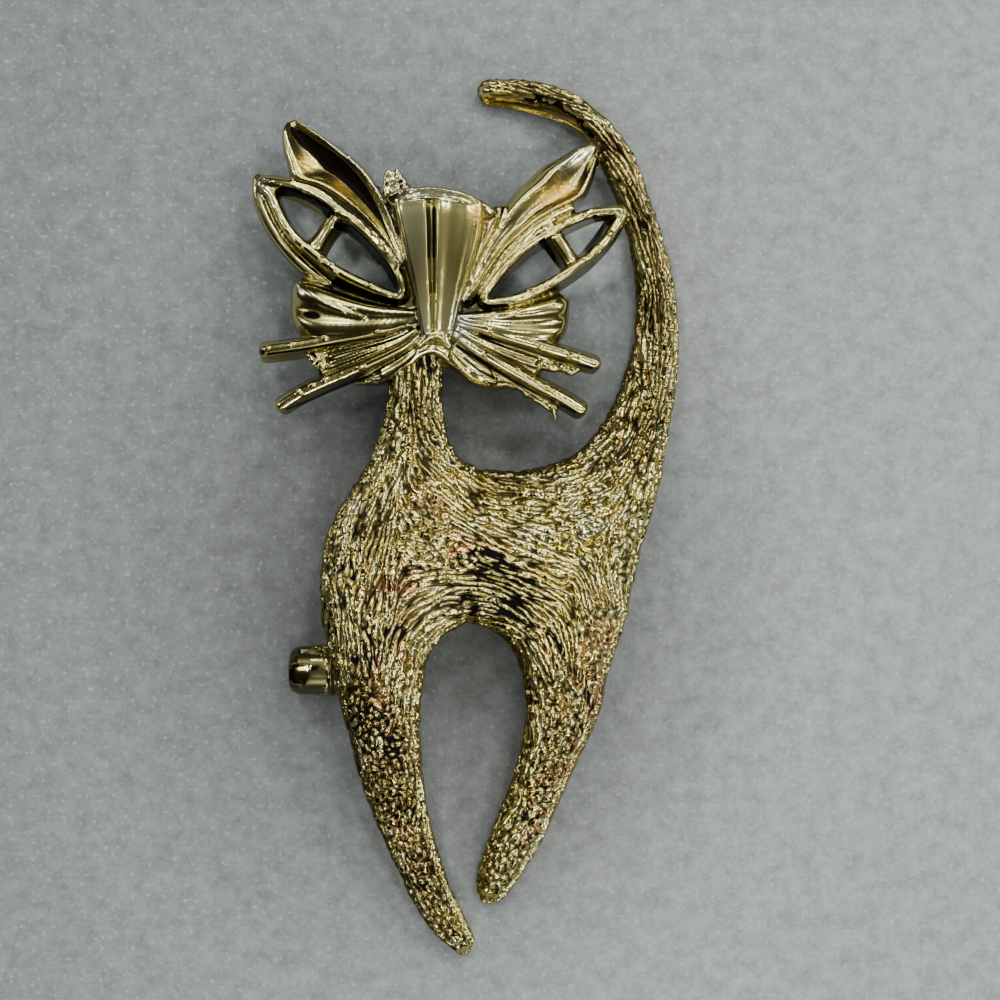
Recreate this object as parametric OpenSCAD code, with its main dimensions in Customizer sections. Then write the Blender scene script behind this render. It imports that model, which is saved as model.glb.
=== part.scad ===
/* [Cat] */
// Height of the cat from the foot tip to the top of the tail
cat_l = 63.5; // [50:0.5:80]
// Width of the cat from the left whisker to the bend of the tail
cat_w = 30.6; // [25:0.1:40]
// Thickness of the torso above its back rim
torso_t = 4.4; // [3.6:0.1:6]
// Height that the back of the torso stands off the surface
arch_h = 3; // [2.8:0.1:4]
// Height of the straight edge that runs round the body
edge_t = 0.6; // [0.3:0.1:0.9]
// Wall of the casting over the hollow in its back
shell_t = 1.3; // [1:0.1:1.6]

/* [Head] */
// Height of the forehead above the surface
head_top = 8.2; // [7.4:0.1:10]
// Height of the flat back of the head above the surface
head_back = 3.2; // [2.9:0.1:3.6]
// Depth of one flute in the forehead, the ears and the cheeks
flute_d = 0.45; // [0.2:0.05:0.6]
// Slope of the cast walls, as their spread at the foot
draft = 0.35; // [0.1:0.05:0.5]
// Radius of a whisker's ridge
whisker_r = 0.5; // [0.35:0.05:0.7]
// Radius of the raised lip
lip_r = 0.45; // [0.3:0.05:0.6]

/* [Pin and catch] */
// Diameter of the pin
pin_d = 0.9; // [0.7:0.05:1]
// Clearance round the pin, and between its eye and the bracket
pin_gap = 0.15; // [0.1:0.05:0.2]
// Diameter of the catch barrel
catch_d = 3.5; // [3.2:0.1:4]
// Length of the catch barrel with its rounded nose
catch_l = 4.9; // [4.5:0.1:5.5]
// Width of the slit along the catch
slit_w = 0.3; // [0.2:0.05:0.4]
// Thickness of each ear of the joint bracket
ear_t = 0.7; // [0.5:0.1:1]
// Diameter of the eye that turns on the rivet
eye_d = 2.4; // [2.2:0.1:2.8]
// Diameter of the rivet
rivet_d = 0.8; // [0.6:0.1:0.9]

/* [Smoothness] */
// Points across the front of a section
across = 12; // [8:2:14]
// Steps between two rows of a table
steps = 2; // [1:1:2]

/* [Hidden] */

// Shares are taken from the loin, just under the saddle, whose own place is given here.
loin = [0.076, 0.021];
fuse = 0.15;
cut_shift = 0.25;
round_fn = 24;

// Columns of both body tables: left x, left y, right x, right y, back, crest,
// height kept at the left seam, height kept at the right seam, place of the crest.
// x and y are shares of cat_w and cat_l, back of arch_h, the others of torso_t.
FRONT_SIDE = [
  [-0.243, 0.167, -0.136, 0.167, 1.00, 0.70, 0, 0.00, 0.50],
  [-0.256, 0.128, -0.139, 0.128, 1.00, 0.72, 0, 0.00, 0.50],
  [-0.265, 0.101, -0.132, 0.096, 1.00, 0.77, 0, 0.00, 0.50],
  [-0.281, 0.072, -0.119, 0.066, 1.00, 0.84, 0, 0.00, 0.50],
  [-0.310, 0.037, -0.086, 0.042, 1.00, 0.92, 0, 0.00, 0.50],
  [-0.350, 0.009, -0.051, 0.032, 1.00, 0.97, 0, 0.25, 0.50],
  [-0.387, -0.023, -0.051, -0.003, 1.00, 1.00, 0, 0.74, 0.54],
  [-0.408, -0.051, -0.054, -0.039, 1.00, 1.01, 0, 0.93, 0.58],
  [-0.417, -0.084, -0.058, -0.077, 1.00, 1.01, 0, 0.92, 0.58],
  [-0.417, -0.118, -0.065, -0.110, 1.00, 1.00, 0, 0.70, 0.55],
  [-0.409, -0.149, -0.075, -0.135, 1.00, 0.97, 0, 0.22, 0.52],
  [-0.395, -0.175, -0.117, -0.146, 1.00, 0.94, 0, 0.00, 0.50],
  [-0.383, -0.200, -0.159, -0.166, 1.00, 0.91, 0, 0.00, 0.50],
  [-0.370, -0.231, -0.180, -0.201, 0.96, 0.88, 0, 0.00, 0.50],
  [-0.351, -0.267, -0.187, -0.243, 0.86, 0.84, 0, 0.00, 0.50],
  [-0.329, -0.310, -0.185, -0.291, 0.70, 0.79, 0, 0.00, 0.50],
  [-0.297, -0.358, -0.174, -0.343, 0.50, 0.73, 0, 0.00, 0.50],
  [-0.257, -0.403, -0.152, -0.390, 0.31, 0.67, 0, 0.00, 0.50],
  [-0.215, -0.448, -0.123, -0.437, 0.14, 0.61, 0, 0.00, 0.50],
  [-0.175, -0.483, -0.088, -0.474, 0.04, 0.55, 0, 0.00, 0.50],
  [-0.128, -0.506, -0.067, -0.496, 0.00, 0.46, 0, 0.00, 0.50],
  [-0.102, -0.517, -0.063, -0.508, 0.00, 0.32, 0, 0.00, 0.50],
  [-0.089, -0.521, -0.074, -0.516, 0.00, 0.20, 0, 0.00, 0.50]];

TAIL_SIDE = [
  [-0.054, 0.463, -0.054, 0.470, 0.00, 0.20, 0.00, 0, 0.50],
  [-0.046, 0.456, -0.046, 0.475, 0.00, 0.32, 0.00, 0, 0.50],
  [-0.024, 0.450, -0.024, 0.480, 0.00, 0.42, 0.00, 0, 0.55],
  [0.028, 0.446, 0.038, 0.480, 0.02, 0.46, 0.00, 0, 0.60],
  [0.083, 0.439, 0.099, 0.476, 0.08, 0.50, 0.00, 0, 0.62],
  [0.132, 0.431, 0.156, 0.465, 0.20, 0.54, 0.00, 0, 0.62],
  [0.175, 0.421, 0.213, 0.448, 0.30, 0.57, 0.00, 0, 0.60],
  [0.213, 0.402, 0.267, 0.424, 0.32, 0.59, 0.00, 0, 0.58],
  [0.246, 0.372, 0.312, 0.395, 0.30, 0.60, 0.00, 0, 0.56],
  [0.275, 0.340, 0.341, 0.359, 0.22, 0.60, 0.00, 0, 0.55],
  [0.300, 0.306, 0.369, 0.322, 0.12, 0.60, 0.00, 0, 0.54],
  [0.317, 0.268, 0.395, 0.280, 0.04, 0.62, 0.00, 0, 0.54],
  [0.324, 0.229, 0.419, 0.228, 0.00, 0.65, 0.00, 0, 0.54],
  [0.319, 0.179, 0.424, 0.175, 0.00, 0.68, 0.00, 0, 0.54],
  [0.296, 0.142, 0.416, 0.132, 0.08, 0.72, 0.00, 0, 0.53],
  [0.264, 0.104, 0.405, 0.097, 0.25, 0.77, 0.00, 0, 0.52],
  [0.225, 0.075, 0.392, 0.065, 0.50, 0.82, 0.00, 0, 0.51],
  [0.173, 0.051, 0.381, 0.038, 0.75, 0.88, 0.00, 0, 0.50],
  [0.105, 0.037, 0.371, 0.018, 0.93, 0.93, 0.00, 0, 0.50],
  [0.028, 0.031, 0.360, -0.003, 1.00, 0.97, 0.00, 0, 0.49],
  [-0.051, 0.032, 0.345, -0.030, 1.00, 1.00, 0.25, 0, 0.48],
  [-0.051, -0.003, 0.329, -0.054, 1.00, 1.02, 0.74, 0, 0.46],
  [-0.054, -0.039, 0.318, -0.077, 1.00, 1.03, 0.93, 0, 0.44],
  [-0.058, -0.077, 0.308, -0.099, 1.00, 1.03, 0.92, 0, 0.45],
  [-0.065, -0.110, 0.299, -0.120, 1.00, 1.02, 0.70, 0, 0.48],
  [-0.075, -0.135, 0.290, -0.140, 1.00, 1.00, 0.22, 0, 0.50],
  [-0.037, -0.141, 0.276, -0.159, 1.00, 0.98, 0.00, 0, 0.50],
  [0.005, -0.154, 0.264, -0.177, 1.00, 0.96, 0.00, 0, 0.50],
  [0.035, -0.172, 0.252, -0.195, 1.00, 0.94, 0.00, 0, 0.50],
  [0.054, -0.198, 0.243, -0.214, 0.98, 0.91, 0.00, 0, 0.50],
  [0.063, -0.226, 0.232, -0.236, 0.92, 0.88, 0.00, 0, 0.50],
  [0.058, -0.256, 0.215, -0.260, 0.84, 0.85, 0.00, 0, 0.50],
  [0.047, -0.285, 0.190, -0.286, 0.74, 0.82, 0.00, 0, 0.50],
  [0.030, -0.314, 0.164, -0.313, 0.60, 0.78, 0.00, 0, 0.50],
  [0.005, -0.346, 0.134, -0.347, 0.44, 0.73, 0.00, 0, 0.50],
  [-0.021, -0.380, 0.099, -0.386, 0.28, 0.68, 0.00, 0, 0.50],
  [-0.045, -0.412, 0.062, -0.417, 0.14, 0.62, 0.00, 0, 0.50],
  [-0.055, -0.436, 0.031, -0.440, 0.05, 0.54, 0.00, 0, 0.50],
  [-0.049, -0.452, 0.008, -0.454, 0.00, 0.38, 0.00, 0, 0.50],
  [-0.038, -0.460, -0.012, -0.460, 0.00, 0.20, 0.00, 0, 0.50]];

// Rows of each table, first and last, behind which the back is hollow.
FRONT_HOLLOW = [3, 15];
TAIL_HOLLOW = [17, 33];

// Columns of the head's strips: first edge x, y, second edge x, y, top, floor.
// The heights are shares of head_top.
FOREHEAD = [
  [-0.261, 0.328, -0.014, 0.324, 0.74, 0.4],
  [-0.247, 0.323, -0.025, 0.320, 1.00, 0.4],
  [-0.222, 0.285, -0.043, 0.290, 0.99, 0.4],
  [-0.202, 0.246, -0.070, 0.250, 0.97, 0.4],
  [-0.186, 0.208, -0.095, 0.210, 0.96, 0.4],
  [-0.177, 0.174, -0.109, 0.174, 0.94, 0.4]];
// How far the middle of each row bows up the forehead, as shares of cat_l.
FOREHEAD_BOW = [0.021, 0.015, 0.004, 0.002, 0.003, 0.008];

LEFT_EAR = [
  [-0.468, 0.421, -0.493, 0.418, 0.58, 0.42],
  [-0.420, 0.408, -0.496, 0.391, 0.62, 0.40],
  [-0.369, 0.392, -0.484, 0.359, 0.66, 0.40],
  [-0.318, 0.371, -0.420, 0.348, 0.70, 0.40],
  [-0.276, 0.342, -0.357, 0.326, 0.74, 0.40],
  [-0.251, 0.312, -0.302, 0.298, 0.78, 0.40],
  [-0.230, 0.278, -0.258, 0.274, 0.81, 0.40],
  [-0.217, 0.251, -0.224, 0.249, 0.83, 0.40]];

RIGHT_EAR = [
  [0.226, 0.389, 0.212, 0.393, 0.54, 0.20],
  [0.205, 0.360, 0.150, 0.381, 0.62, 0.30],
  [0.184, 0.330, 0.092, 0.362, 0.66, 0.38],
  [0.113, 0.319, 0.046, 0.345, 0.70, 0.40],
  [0.055, 0.300, 0.000, 0.322, 0.74, 0.40],
  [0.002, 0.278, -0.037, 0.289, 0.78, 0.40],
  [-0.046, 0.251, -0.067, 0.255, 0.81, 0.40],
  [-0.080, 0.222, -0.089, 0.224, 0.83, 0.40]];

LEFT_EYE = [
  [-0.574, 0.354, -0.572, 0.346, 0.50, 0.42],
  [-0.561, 0.357, -0.557, 0.344, 0.60, 0.42],
  [-0.524, 0.358, -0.538, 0.332, 0.63, 0.40],
  [-0.481, 0.354, -0.511, 0.306, 0.67, 0.40],
  [-0.423, 0.344, -0.467, 0.282, 0.70, 0.40],
  [-0.368, 0.326, -0.418, 0.262, 0.73, 0.40],
  [-0.322, 0.304, -0.375, 0.247, 0.76, 0.40],
  [-0.278, 0.277, -0.326, 0.236, 0.79, 0.40],
  [-0.239, 0.252, -0.283, 0.227, 0.82, 0.40],
  [-0.209, 0.230, -0.234, 0.224, 0.84, 0.40]];

RIGHT_EYE = [
  [0.292, 0.322, 0.280, 0.328, 0.58, 0.20],
  [0.278, 0.300, 0.239, 0.324, 0.62, 0.32],
  [0.250, 0.279, 0.193, 0.320, 0.66, 0.40],
  [0.216, 0.257, 0.145, 0.310, 0.70, 0.40],
  [0.170, 0.242, 0.096, 0.294, 0.73, 0.40],
  [0.124, 0.230, 0.050, 0.277, 0.76, 0.40],
  [0.074, 0.222, 0.012, 0.258, 0.79, 0.40],
  [0.014, 0.215, -0.023, 0.238, 0.82, 0.40],
  [-0.042, 0.216, -0.050, 0.222, 0.84, 0.40]];

LEFT_CHEEK = [
  [-0.490, 0.244, -0.490, 0.202, 0.56, 0.42],
  [-0.464, 0.252, -0.464, 0.182, 0.66, 0.40],
  [-0.368, 0.232, -0.356, 0.187, 0.76, 0.40],
  [-0.271, 0.217, -0.266, 0.193, 0.84, 0.40],
  [-0.193, 0.205, -0.193, 0.194, 0.89, 0.40]];

RIGHT_CHEEK = [
  [0.145, 0.194, 0.158, 0.219, 0.58, 0.42],
  [0.120, 0.180, 0.129, 0.224, 0.66, 0.40],
  [0.041, 0.186, 0.046, 0.216, 0.76, 0.40],
  [-0.037, 0.193, -0.032, 0.212, 0.84, 0.40],
  [-0.101, 0.196, -0.101, 0.208, 0.89, 0.40]];

// Columns of the strips' profiles: place across, rise in flutes.
EAR_PROFILE = [[0, -1.6], [0.08, 0], [0.28, -1.4], [0.55, -2.6], [0.82, -1.2], [0.93, 0], [1, -1.6]];
EYE_PROFILE = [[0, -1.2], [0.1, -0.1], [0.3, 0], [0.7, 0], [0.9, -0.1], [1, -1.2]];
CHEEK_PROFILE = [[0, -2.4], [0.16, -0.5], [0.34, 0], [0.5, -1.2], [0.68, 0.2], [0.86, -0.4], [1, -2.4]];

// The groove down the forehead, as places across its first and its last row.
GROOVE = [0.47, 0.32];

// Outlines of the holes in the eye frames.
LEFT_HOLES = [
  [[-0.513, 0.343], [-0.474, 0.338], [-0.437, 0.334], [-0.391, 0.324], [-0.389, 0.316],
   [-0.444, 0.287], [-0.453, 0.287], [-0.492, 0.313], [-0.511, 0.335]],
  [[-0.366, 0.304], [-0.334, 0.297], [-0.292, 0.282], [-0.262, 0.267], [-0.237, 0.246], [-0.242, 0.237],
   [-0.276, 0.239], [-0.324, 0.247], [-0.373, 0.262], [-0.407, 0.275], [-0.403, 0.282]]];
RIGHT_HOLES = [
  [[0.142, 0.296], [0.184, 0.307], [0.225, 0.317], [0.260, 0.319], [0.257, 0.307],
   [0.227, 0.289], [0.177, 0.269], [0.163, 0.273], [0.142, 0.287]],
  [[0.087, 0.289], [0.110, 0.289], [0.140, 0.265], [0.140, 0.256], [0.122, 0.248], [0.069, 0.235],
   [0.016, 0.227], [-0.014, 0.225], [-0.016, 0.229], [-0.002, 0.243], [0.030, 0.263], [0.062, 0.279]]];

// The back of the head, behind the forehead, the cheeks and the muzzle.
SKULL = [
  [-0.258, 0.322], [-0.205, 0.342], [-0.115, 0.344], [-0.046, 0.330], [-0.010, 0.318], [0.060, 0.304],
  [0.100, 0.297], [0.060, 0.281], [0.020, 0.262], [-0.015, 0.240], [-0.028, 0.222], [0.020, 0.216],
  [0.115, 0.218], [0.148, 0.206], [0.118, 0.186], [0.010, 0.172], [0.028, 0.140], [-0.035, 0.126],
  [-0.130, 0.138], [-0.240, 0.132], [-0.330, 0.133], [-0.352, 0.156], [-0.340, 0.178],
  [-0.452, 0.184], [-0.474, 0.208], [-0.470, 0.246], [-0.385, 0.230], [-0.270, 0.220],
  [-0.230, 0.222], [-0.228, 0.255], [-0.246, 0.290]];
SKULL_TOP = 0.66;

// The rough tab that the casting kept behind the forehead.
TAB = [
  [-0.262, 0.325], [-0.268, 0.361], [-0.262, 0.366], [-0.233, 0.369], [-0.222, 0.360],
  [-0.200, 0.345], [-0.200, 0.325]];
TAB_Z = [0.46, 0.74];

// Ridge points of the whiskers and of the lip: x, y, height.
WHISKERS = [
  [[-0.205, 0.191, 0.88], [-0.356, 0.178, 0.74], [-0.545, 0.166, 0.62]],
  [[-0.196, 0.169, 0.88], [-0.326, 0.147, 0.74], [-0.492, 0.109, 0.60]],
  [[-0.096, 0.191, 0.88], [0.046, 0.178, 0.74], [0.204, 0.157, 0.62]],
  [[-0.109, 0.171, 0.90], [0.012, 0.144, 0.76], [0.174, 0.105, 0.60]]];
LIP = [
  [-0.257, 0.142, 0.72], [-0.196, 0.158, 0.86], [-0.150, 0.166, 0.92],
  [-0.091, 0.146, 0.86], [-0.034, 0.135, 0.72]];
// The small spur left under the lower right whisker.
SPUR = [[0.112, 0.112, 0.50], [0.124, 0.088, 0.46]];

// Where the catch barrel, the joint and the pin lie on the back.
CATCH_AT = [-0.419, -0.193];
JOINT_AT = [0.214, -0.068];
catch_z = catch_d / 2;
pin_z = arch_h / 2 - 0.2;
catch_place = place(CATCH_AT);
joint_place = place(JOINT_AT);
pin_run = joint_place - catch_place;
pin_turn = atan2(pin_run[1], pin_run[0]);
pin_l = norm(pin_run);
eye_t = pin_d + 0.2;
bracket_w = eye_t + 2 * (pin_gap + ear_t);
rim_step = 0.4;

// Place of a pair of shares, in millimetres.
function place(p) = [(p[0] + loin[0]) * cat_w, (p[1] + loin[1]) * cat_l];
function point(p) = concat(place(p), [p[2] * head_top]);

// A value between four neighbours that passes smoothly through the middle two.
function between(a, b, c, d, t) =
  (2 * b + (c - a) * t + (2 * a - 5 * b + 4 * c - d) * t * t + (3 * b - a - 3 * c + d) * t * t * t) / 2;

// All rows of a table, with more rows worked out between them.
function smooth_rows(rows, n) =
  let (last = len(rows) - 1)
  [for (i = [0 : last], s = [0 : n - 1])
    if (i < last || s == 0)
      between(rows[max(i - 1, 0)], rows[i], rows[min(i + 1, last)], rows[min(i + 2, last)], s / n)];

// The rows between two ends, each moved on by a part of a row, so none lies on a row of the skin.
function cut_rows(rows, ends) =
  [for (i = [ends[0] : ends[1]]) between(rows[i - 1], rows[i], rows[i + 1], rows[i + 2], cut_shift)];

// Rise of a side of the body from its edge, u = 0, to its crest, u = 1.
// An edge that is a seam, k = 1, rises like a wave and a free edge like an ellipse.
function side(u, k) =
  k + (1 - k) * ((1 - k) * sqrt(max(0, 1 - pow(1 - u, 2.2))) + k * (0.5 - 0.5 * cos(180 * u)));

function rise(t, crest, left, right, mid) =
  t < mid ? crest * side(t / mid, left / crest) : crest * side((1 - t) / (1 - mid), right / crest);

// One section of the body, as a closed ring of points.
function ring(row, inset, down) =
  let (
    a = place([row[0], row[1]]),
    b = place([row[2], row[3]]),
    w = norm(b - a),
    u = (b - a) / w,
    back = max(row[4], 0) * arch_h,
    crest = max(row[5] * torso_t - edge_t, 0.1),
    left = min(row[6] * torso_t, crest),
    right = min(row[7] * torso_t, crest),
    from = row[6] > 0 ? -fuse : inset,
    to = w - (row[7] > 0 ? -fuse : inset),
    lower = down > 0 ? down : 0)
  concat(
    [for (i = [0 : across])
      let (
        t = 0.5 - 0.5 * cos(180 * i / across),
        s = from + (to - from) * t,
        z = rise(min(max(s / w, 0), 1), crest, left, right, row[8]))
      concat(a + s * u, [back + edge_t + z - lower])],
    [for (s = down > 0 ? [to, (from + to) / 2, from] : [to - 0.1, (from + to) / 2, from + 0.1])
      concat(a + s * u, [down > 0 ? back - 1 : back])]);

// Skin over a stack of rings that all have the same number of points.
module skin(rings) {
  n = len(rings[0]);
  last = len(rings) - 1;
  sides = [for (i = [0 : last - 1], j = [0 : n - 1])
    let (a = i * n + j, b = i * n + (j + 1) % n) each [[a, b, a + n], [b, b + n, a + n]]];
  caps = [[for (j = [n - 1 : -1 : 0]) j], [for (j = [0 : n - 1]) last * n + j]];
  polyhedron([for (r = rings) each r], concat(sides, caps), convexity = 6);
}

module body_side(table) {
  skin([for (row = smooth_rows(table, steps)) ring(row, 0, 0)]);
}

module body_hollow(table, ends) {
  skin([for (row = cut_rows(table, ends)) ring(row, shell_t, shell_t)]);
}

// A strip of the head: rows of points across it, given as shares, on a drafted foot.
function strip_ring(row, profile, bow, spread) =
  let (
    a = place([row[0], row[1]]),
    b = place([row[2], row[3]]),
    w = norm(b - a),
    u = (b - a) / w,
    slim = min(1, w / 2))
  concat(
    [for (p = profile)
      concat(
        a + p[0] * w * u + [0, bow * cat_l * sin(180 * p[0])],
        [row[4] * head_top + p[1] * flute_d * slim])],
    [concat(b + spread[1] * u, [row[5] * head_top]), concat(a - spread[0] * u, [row[5] * head_top])]);

// The rows of a strip run towards the nose, with the first edge on their right.
module strip(table, profile, spread) {
  skin([for (i = [len(table) - 1 : -1 : 0]) strip_ring(table[i], profile, 0, spread)]);
}

module body() {
  difference() {
    union() {
      body_side(FRONT_SIDE);
      body_side(TAIL_SIDE);
    }
    body_hollow(FRONT_SIDE, FRONT_HOLLOW);
    body_hollow(TAIL_SIDE, TAIL_HOLLOW);
  }
}

module forehead() {
  last = len(FOREHEAD) - 1;
  skin([for (i = [0 : last])
    let (g = GROOVE[0] + (GROOVE[1] - GROOVE[0]) * i / last)
    strip_ring(FOREHEAD[i],
      [[0, -2], [0.08, 0], [g - 0.09, 0.3], [g, -1.6], [g + 0.1, 0.1], [g + 0.2, 0.5], [0.9, 0], [1, -2]],
      FOREHEAD_BOW[i], [0.1, 0.1])]);
}

module eye(table, holes, spread) {
  difference() {
    strip(table, EYE_PROFILE, spread);
    for (hole = holes)
      translate([0, 0, -1])
        linear_extrude(head_top + 2)
          polygon([for (p = hole) place(p)]);
  }
}

// A rounded ridge between two points, on a wall that reaches down to the head's back.
module ridge(a, b, r, foot) {
  hull()
    for (p = [a, b])
      translate([p[0], p[1], 0]) {
        translate([0, 0, p[2] - r])
          sphere(r, $fn = 12);
        translate([0, 0, foot])
          cylinder(h = 0.5, r1 = r + draft, r2 = r + draft / 2, $fn = 12);
      }
}

module chain_of_ridges(points, r, foot) {
  for (i = [0 : len(points) - 2])
    ridge(point(points[i]), point(points[i + 1]), r, foot);
}

module skull() {
  translate([0, 0, head_back])
    linear_extrude(SKULL_TOP * head_top - head_back)
      polygon([for (p = SKULL) place(p)]);
}

module casting_marks() {
  translate([0, 0, TAB_Z[0] * head_top])
    linear_extrude((TAB_Z[1] - TAB_Z[0]) * head_top)
      polygon([for (p = TAB) place(p)]);
  hull() {
    translate(point(SPUR[0]))
      sphere(0.5, $fn = 8);
    translate(point(SPUR[1]))
      sphere(0.3, $fn = 8);
  }
}

module head() {
  skull();
  forehead();
  strip(LEFT_EAR, EAR_PROFILE, [draft, draft]);
  strip(RIGHT_EAR, EAR_PROFILE, [draft, draft]);
  eye(LEFT_EYE, LEFT_HOLES, [draft, 3.6 * draft]);
  eye(RIGHT_EYE, RIGHT_HOLES, [draft / 5, draft]);
  strip(LEFT_CHEEK, CHEEK_PROFILE, [draft, draft]);
  strip(RIGHT_CHEEK, CHEEK_PROFILE, [draft, draft]);
  for (w = WHISKERS)
    chain_of_ridges(w, whisker_r, head_back);
  chain_of_ridges(LIP, lip_r, head_back + 1);
  casting_marks();
}

// The path that the pin keeps clear, from inside the catch to the joint.
module pin_path(d, from, to) {
  translate([catch_place[0], catch_place[1], pin_z])
    rotate([0, 0, pin_turn])
      translate([from, 0, 0])
        rotate([0, 90, 0])
          cylinder(h = to - from, d = d, $fn = round_fn);
}

module catch_barrel() {
  translate([catch_place[0], catch_place[1], catch_z])
    difference() {
      union() {
        hull() {
          translate([-catch_l / 2 + catch_d * 0.36, 0, 0])
            scale([0.9, 1, 1])
              sphere(catch_d * 0.4, $fn = round_fn);
          translate([-catch_l / 6, 0, 0])
            rotate([0, 90, 0])
              cylinder(h = catch_l / 3, d = catch_d, $fn = round_fn);
        }
        translate([0, 0, 0])
          rotate([0, 90, 0])
            cylinder(h = catch_l / 2, d1 = catch_d * 0.96, d2 = catch_d, $fn = round_fn);
      }
      rotate([50, 0, 0])
        translate([-catch_l * 0.36, -slit_w / 2, catch_d * 0.2])
          cube([catch_l * 0.42, slit_w, catch_d]);
    }
  hull() {
    translate([catch_place[0] + catch_l * 0.22, catch_place[1] - catch_d / 2, arch_h - rim_step])
      cube([catch_l * 0.28, catch_d, rim_step]);
    translate([catch_place[0] + catch_l * 0.3, catch_place[1] - catch_d / 3, arch_h])
      cube([catch_l * 0.2, catch_d * 2 / 3, edge_t]);
  }
}

module joint_bracket() {
  translate([joint_place[0], joint_place[1], 0])
    rotate([0, 0, pin_turn]) {
      for (s = [-1, 1])
        hull() {
          translate([0, s * (eye_t / 2 + pin_gap + ear_t / 2), pin_z])
            rotate([90, 0, 0])
              cylinder(h = ear_t, d = eye_d, center = true, $fn = round_fn);
          translate([-eye_d / 2, s * (eye_t / 2 + pin_gap + ear_t / 2) - ear_t / 2, arch_h])
            cube([eye_d, ear_t, rim_step]);
        }
      translate([0, 0, pin_z])
        rotate([90, 0, 0])
          cylinder(h = bracket_w, d = rivet_d, center = true, $fn = round_fn);
      translate([-eye_d * 0.6, -bracket_w * 0.55, arch_h])
        cube([eye_d * 1.2, bracket_w * 1.1, torso_t * 0.7]);
    }
}

module cat_casting() {
  color("goldenrod")
    difference() {
      union() {
        body();
        head();
        catch_barrel();
        joint_bracket();
      }
      pin_path(pin_d + 2 * pin_gap, -catch_l * 0.24, catch_l);
    }
}

module pin_stem() {
  color("silver") {
    difference() {
      union() {
        pin_path(pin_d, 0, pin_l - eye_d / 4);
        translate([joint_place[0], joint_place[1], pin_z])
          rotate([90, 0, pin_turn])
            cylinder(h = eye_t, d = eye_d - 0.2, center = true, $fn = round_fn);
      }
      translate([joint_place[0], joint_place[1], pin_z])
        rotate([90, 0, pin_turn])
          cylinder(h = 2 * eye_t, d = rivet_d + 2 * pin_gap, center = true, $fn = round_fn);
    }
    translate([catch_place[0], catch_place[1], pin_z])
      rotate([0, -90, pin_turn])
        cylinder(h = catch_l * 0.16, d1 = pin_d, d2 = pin_d * 0.3, $fn = round_fn);
  }
}

cat_casting();
pin_stem();
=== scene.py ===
"""Cast cat brooch: its polished head, its textured body and the pin behind it, dressed over the solid model."""

import math

import bmesh
import bpy
import numpy as np
from bpy.props import FloatProperty, FloatVectorProperty, IntProperty, PointerProperty
from mathutils import Matrix, Vector


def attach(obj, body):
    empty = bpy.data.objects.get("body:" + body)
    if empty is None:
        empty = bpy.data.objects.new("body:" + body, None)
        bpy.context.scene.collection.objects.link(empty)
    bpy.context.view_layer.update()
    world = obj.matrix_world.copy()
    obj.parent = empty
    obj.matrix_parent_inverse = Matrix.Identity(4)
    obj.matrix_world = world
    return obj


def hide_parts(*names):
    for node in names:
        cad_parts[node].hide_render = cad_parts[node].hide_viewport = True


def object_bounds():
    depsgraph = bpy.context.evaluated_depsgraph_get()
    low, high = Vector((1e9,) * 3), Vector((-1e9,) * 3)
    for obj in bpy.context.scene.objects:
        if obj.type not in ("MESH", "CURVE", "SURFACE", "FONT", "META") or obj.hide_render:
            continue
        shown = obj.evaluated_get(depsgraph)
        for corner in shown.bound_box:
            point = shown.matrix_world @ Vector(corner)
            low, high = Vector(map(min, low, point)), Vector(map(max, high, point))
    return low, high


bl_info = {
    "name": "Cat brooch",
    "version": (1, 0, 0),
    "blender": (4, 5, 0),
    "location": "View3D > Sidebar > Brooch",
    "description": "Models and finishes a cast cat brooch over its solid model",
    "category": "Object",
}

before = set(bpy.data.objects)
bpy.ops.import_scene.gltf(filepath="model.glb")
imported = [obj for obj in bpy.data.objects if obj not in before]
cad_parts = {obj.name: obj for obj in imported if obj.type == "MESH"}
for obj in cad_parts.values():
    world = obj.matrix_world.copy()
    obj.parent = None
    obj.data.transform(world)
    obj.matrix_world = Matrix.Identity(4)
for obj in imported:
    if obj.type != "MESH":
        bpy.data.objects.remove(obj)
CAD_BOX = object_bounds()

# All modelling is done in millimetres and scaled to metres at the end.
MM = 0.001

# The camera: its height above the surface, its reach in pixels, the point below it, and its sensor's width.
CAM_H = 170.0
CAM_F = 2332.0
CAM_AT = (2.326, 1.334)
SENSOR = 36

# Height of the flat back of the head, and of the feet of its cast walls.
HEAD_BACK = 3.2
WALL_FOOT = 3.3

# The parts of the head that are made and not fused yet.
HEAD_PARTS = []

# Height at which the texture of the body is laid out.
BODY_LEVEL = 3.5

# How far the visible pieces stay inside the solid model's box.
CLEAR = 0.002

# Normals that lean further back than this are on the back of the brooch.
BACK = -0.3


def at(px, py, z):
    """The point at height z that the photograph shows at a pixel."""
    k = (CAM_H - z) / CAM_F
    return Vector((CAM_AT[0] + (px - 500) * k, CAM_AT[1] + (500 - py) * k, z))


def between(a, b, c, d, t):
    """A value between four neighbours that passes smoothly through the middle two."""
    return (2 * b + (c - a) * t + (2 * a - 5 * b + 4 * c - d) * t * t + (3 * b - a - 3 * c + d) * t ** 3) / 2


def smooth_rows(rows, steps, closed=False):
    """Rows of numbers with more rows worked out between them."""
    n = len(rows)
    out = []
    for i in range(n if closed else n - 1):
        four = [rows[(i + k) % n] if closed else rows[min(max(i + k, 0), n - 1)] for k in (-1, 0, 1, 2)]
        for s in range(steps):
            out.append(tuple(between(*column, s / steps) for column in zip(*four)))
    if not closed:
        out.append(tuple(rows[-1]))
    return out


def points(geom):
    """The points among what a bmesh operator made."""
    return [v for v in geom if isinstance(v, bmesh.types.BMVert)]


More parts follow.
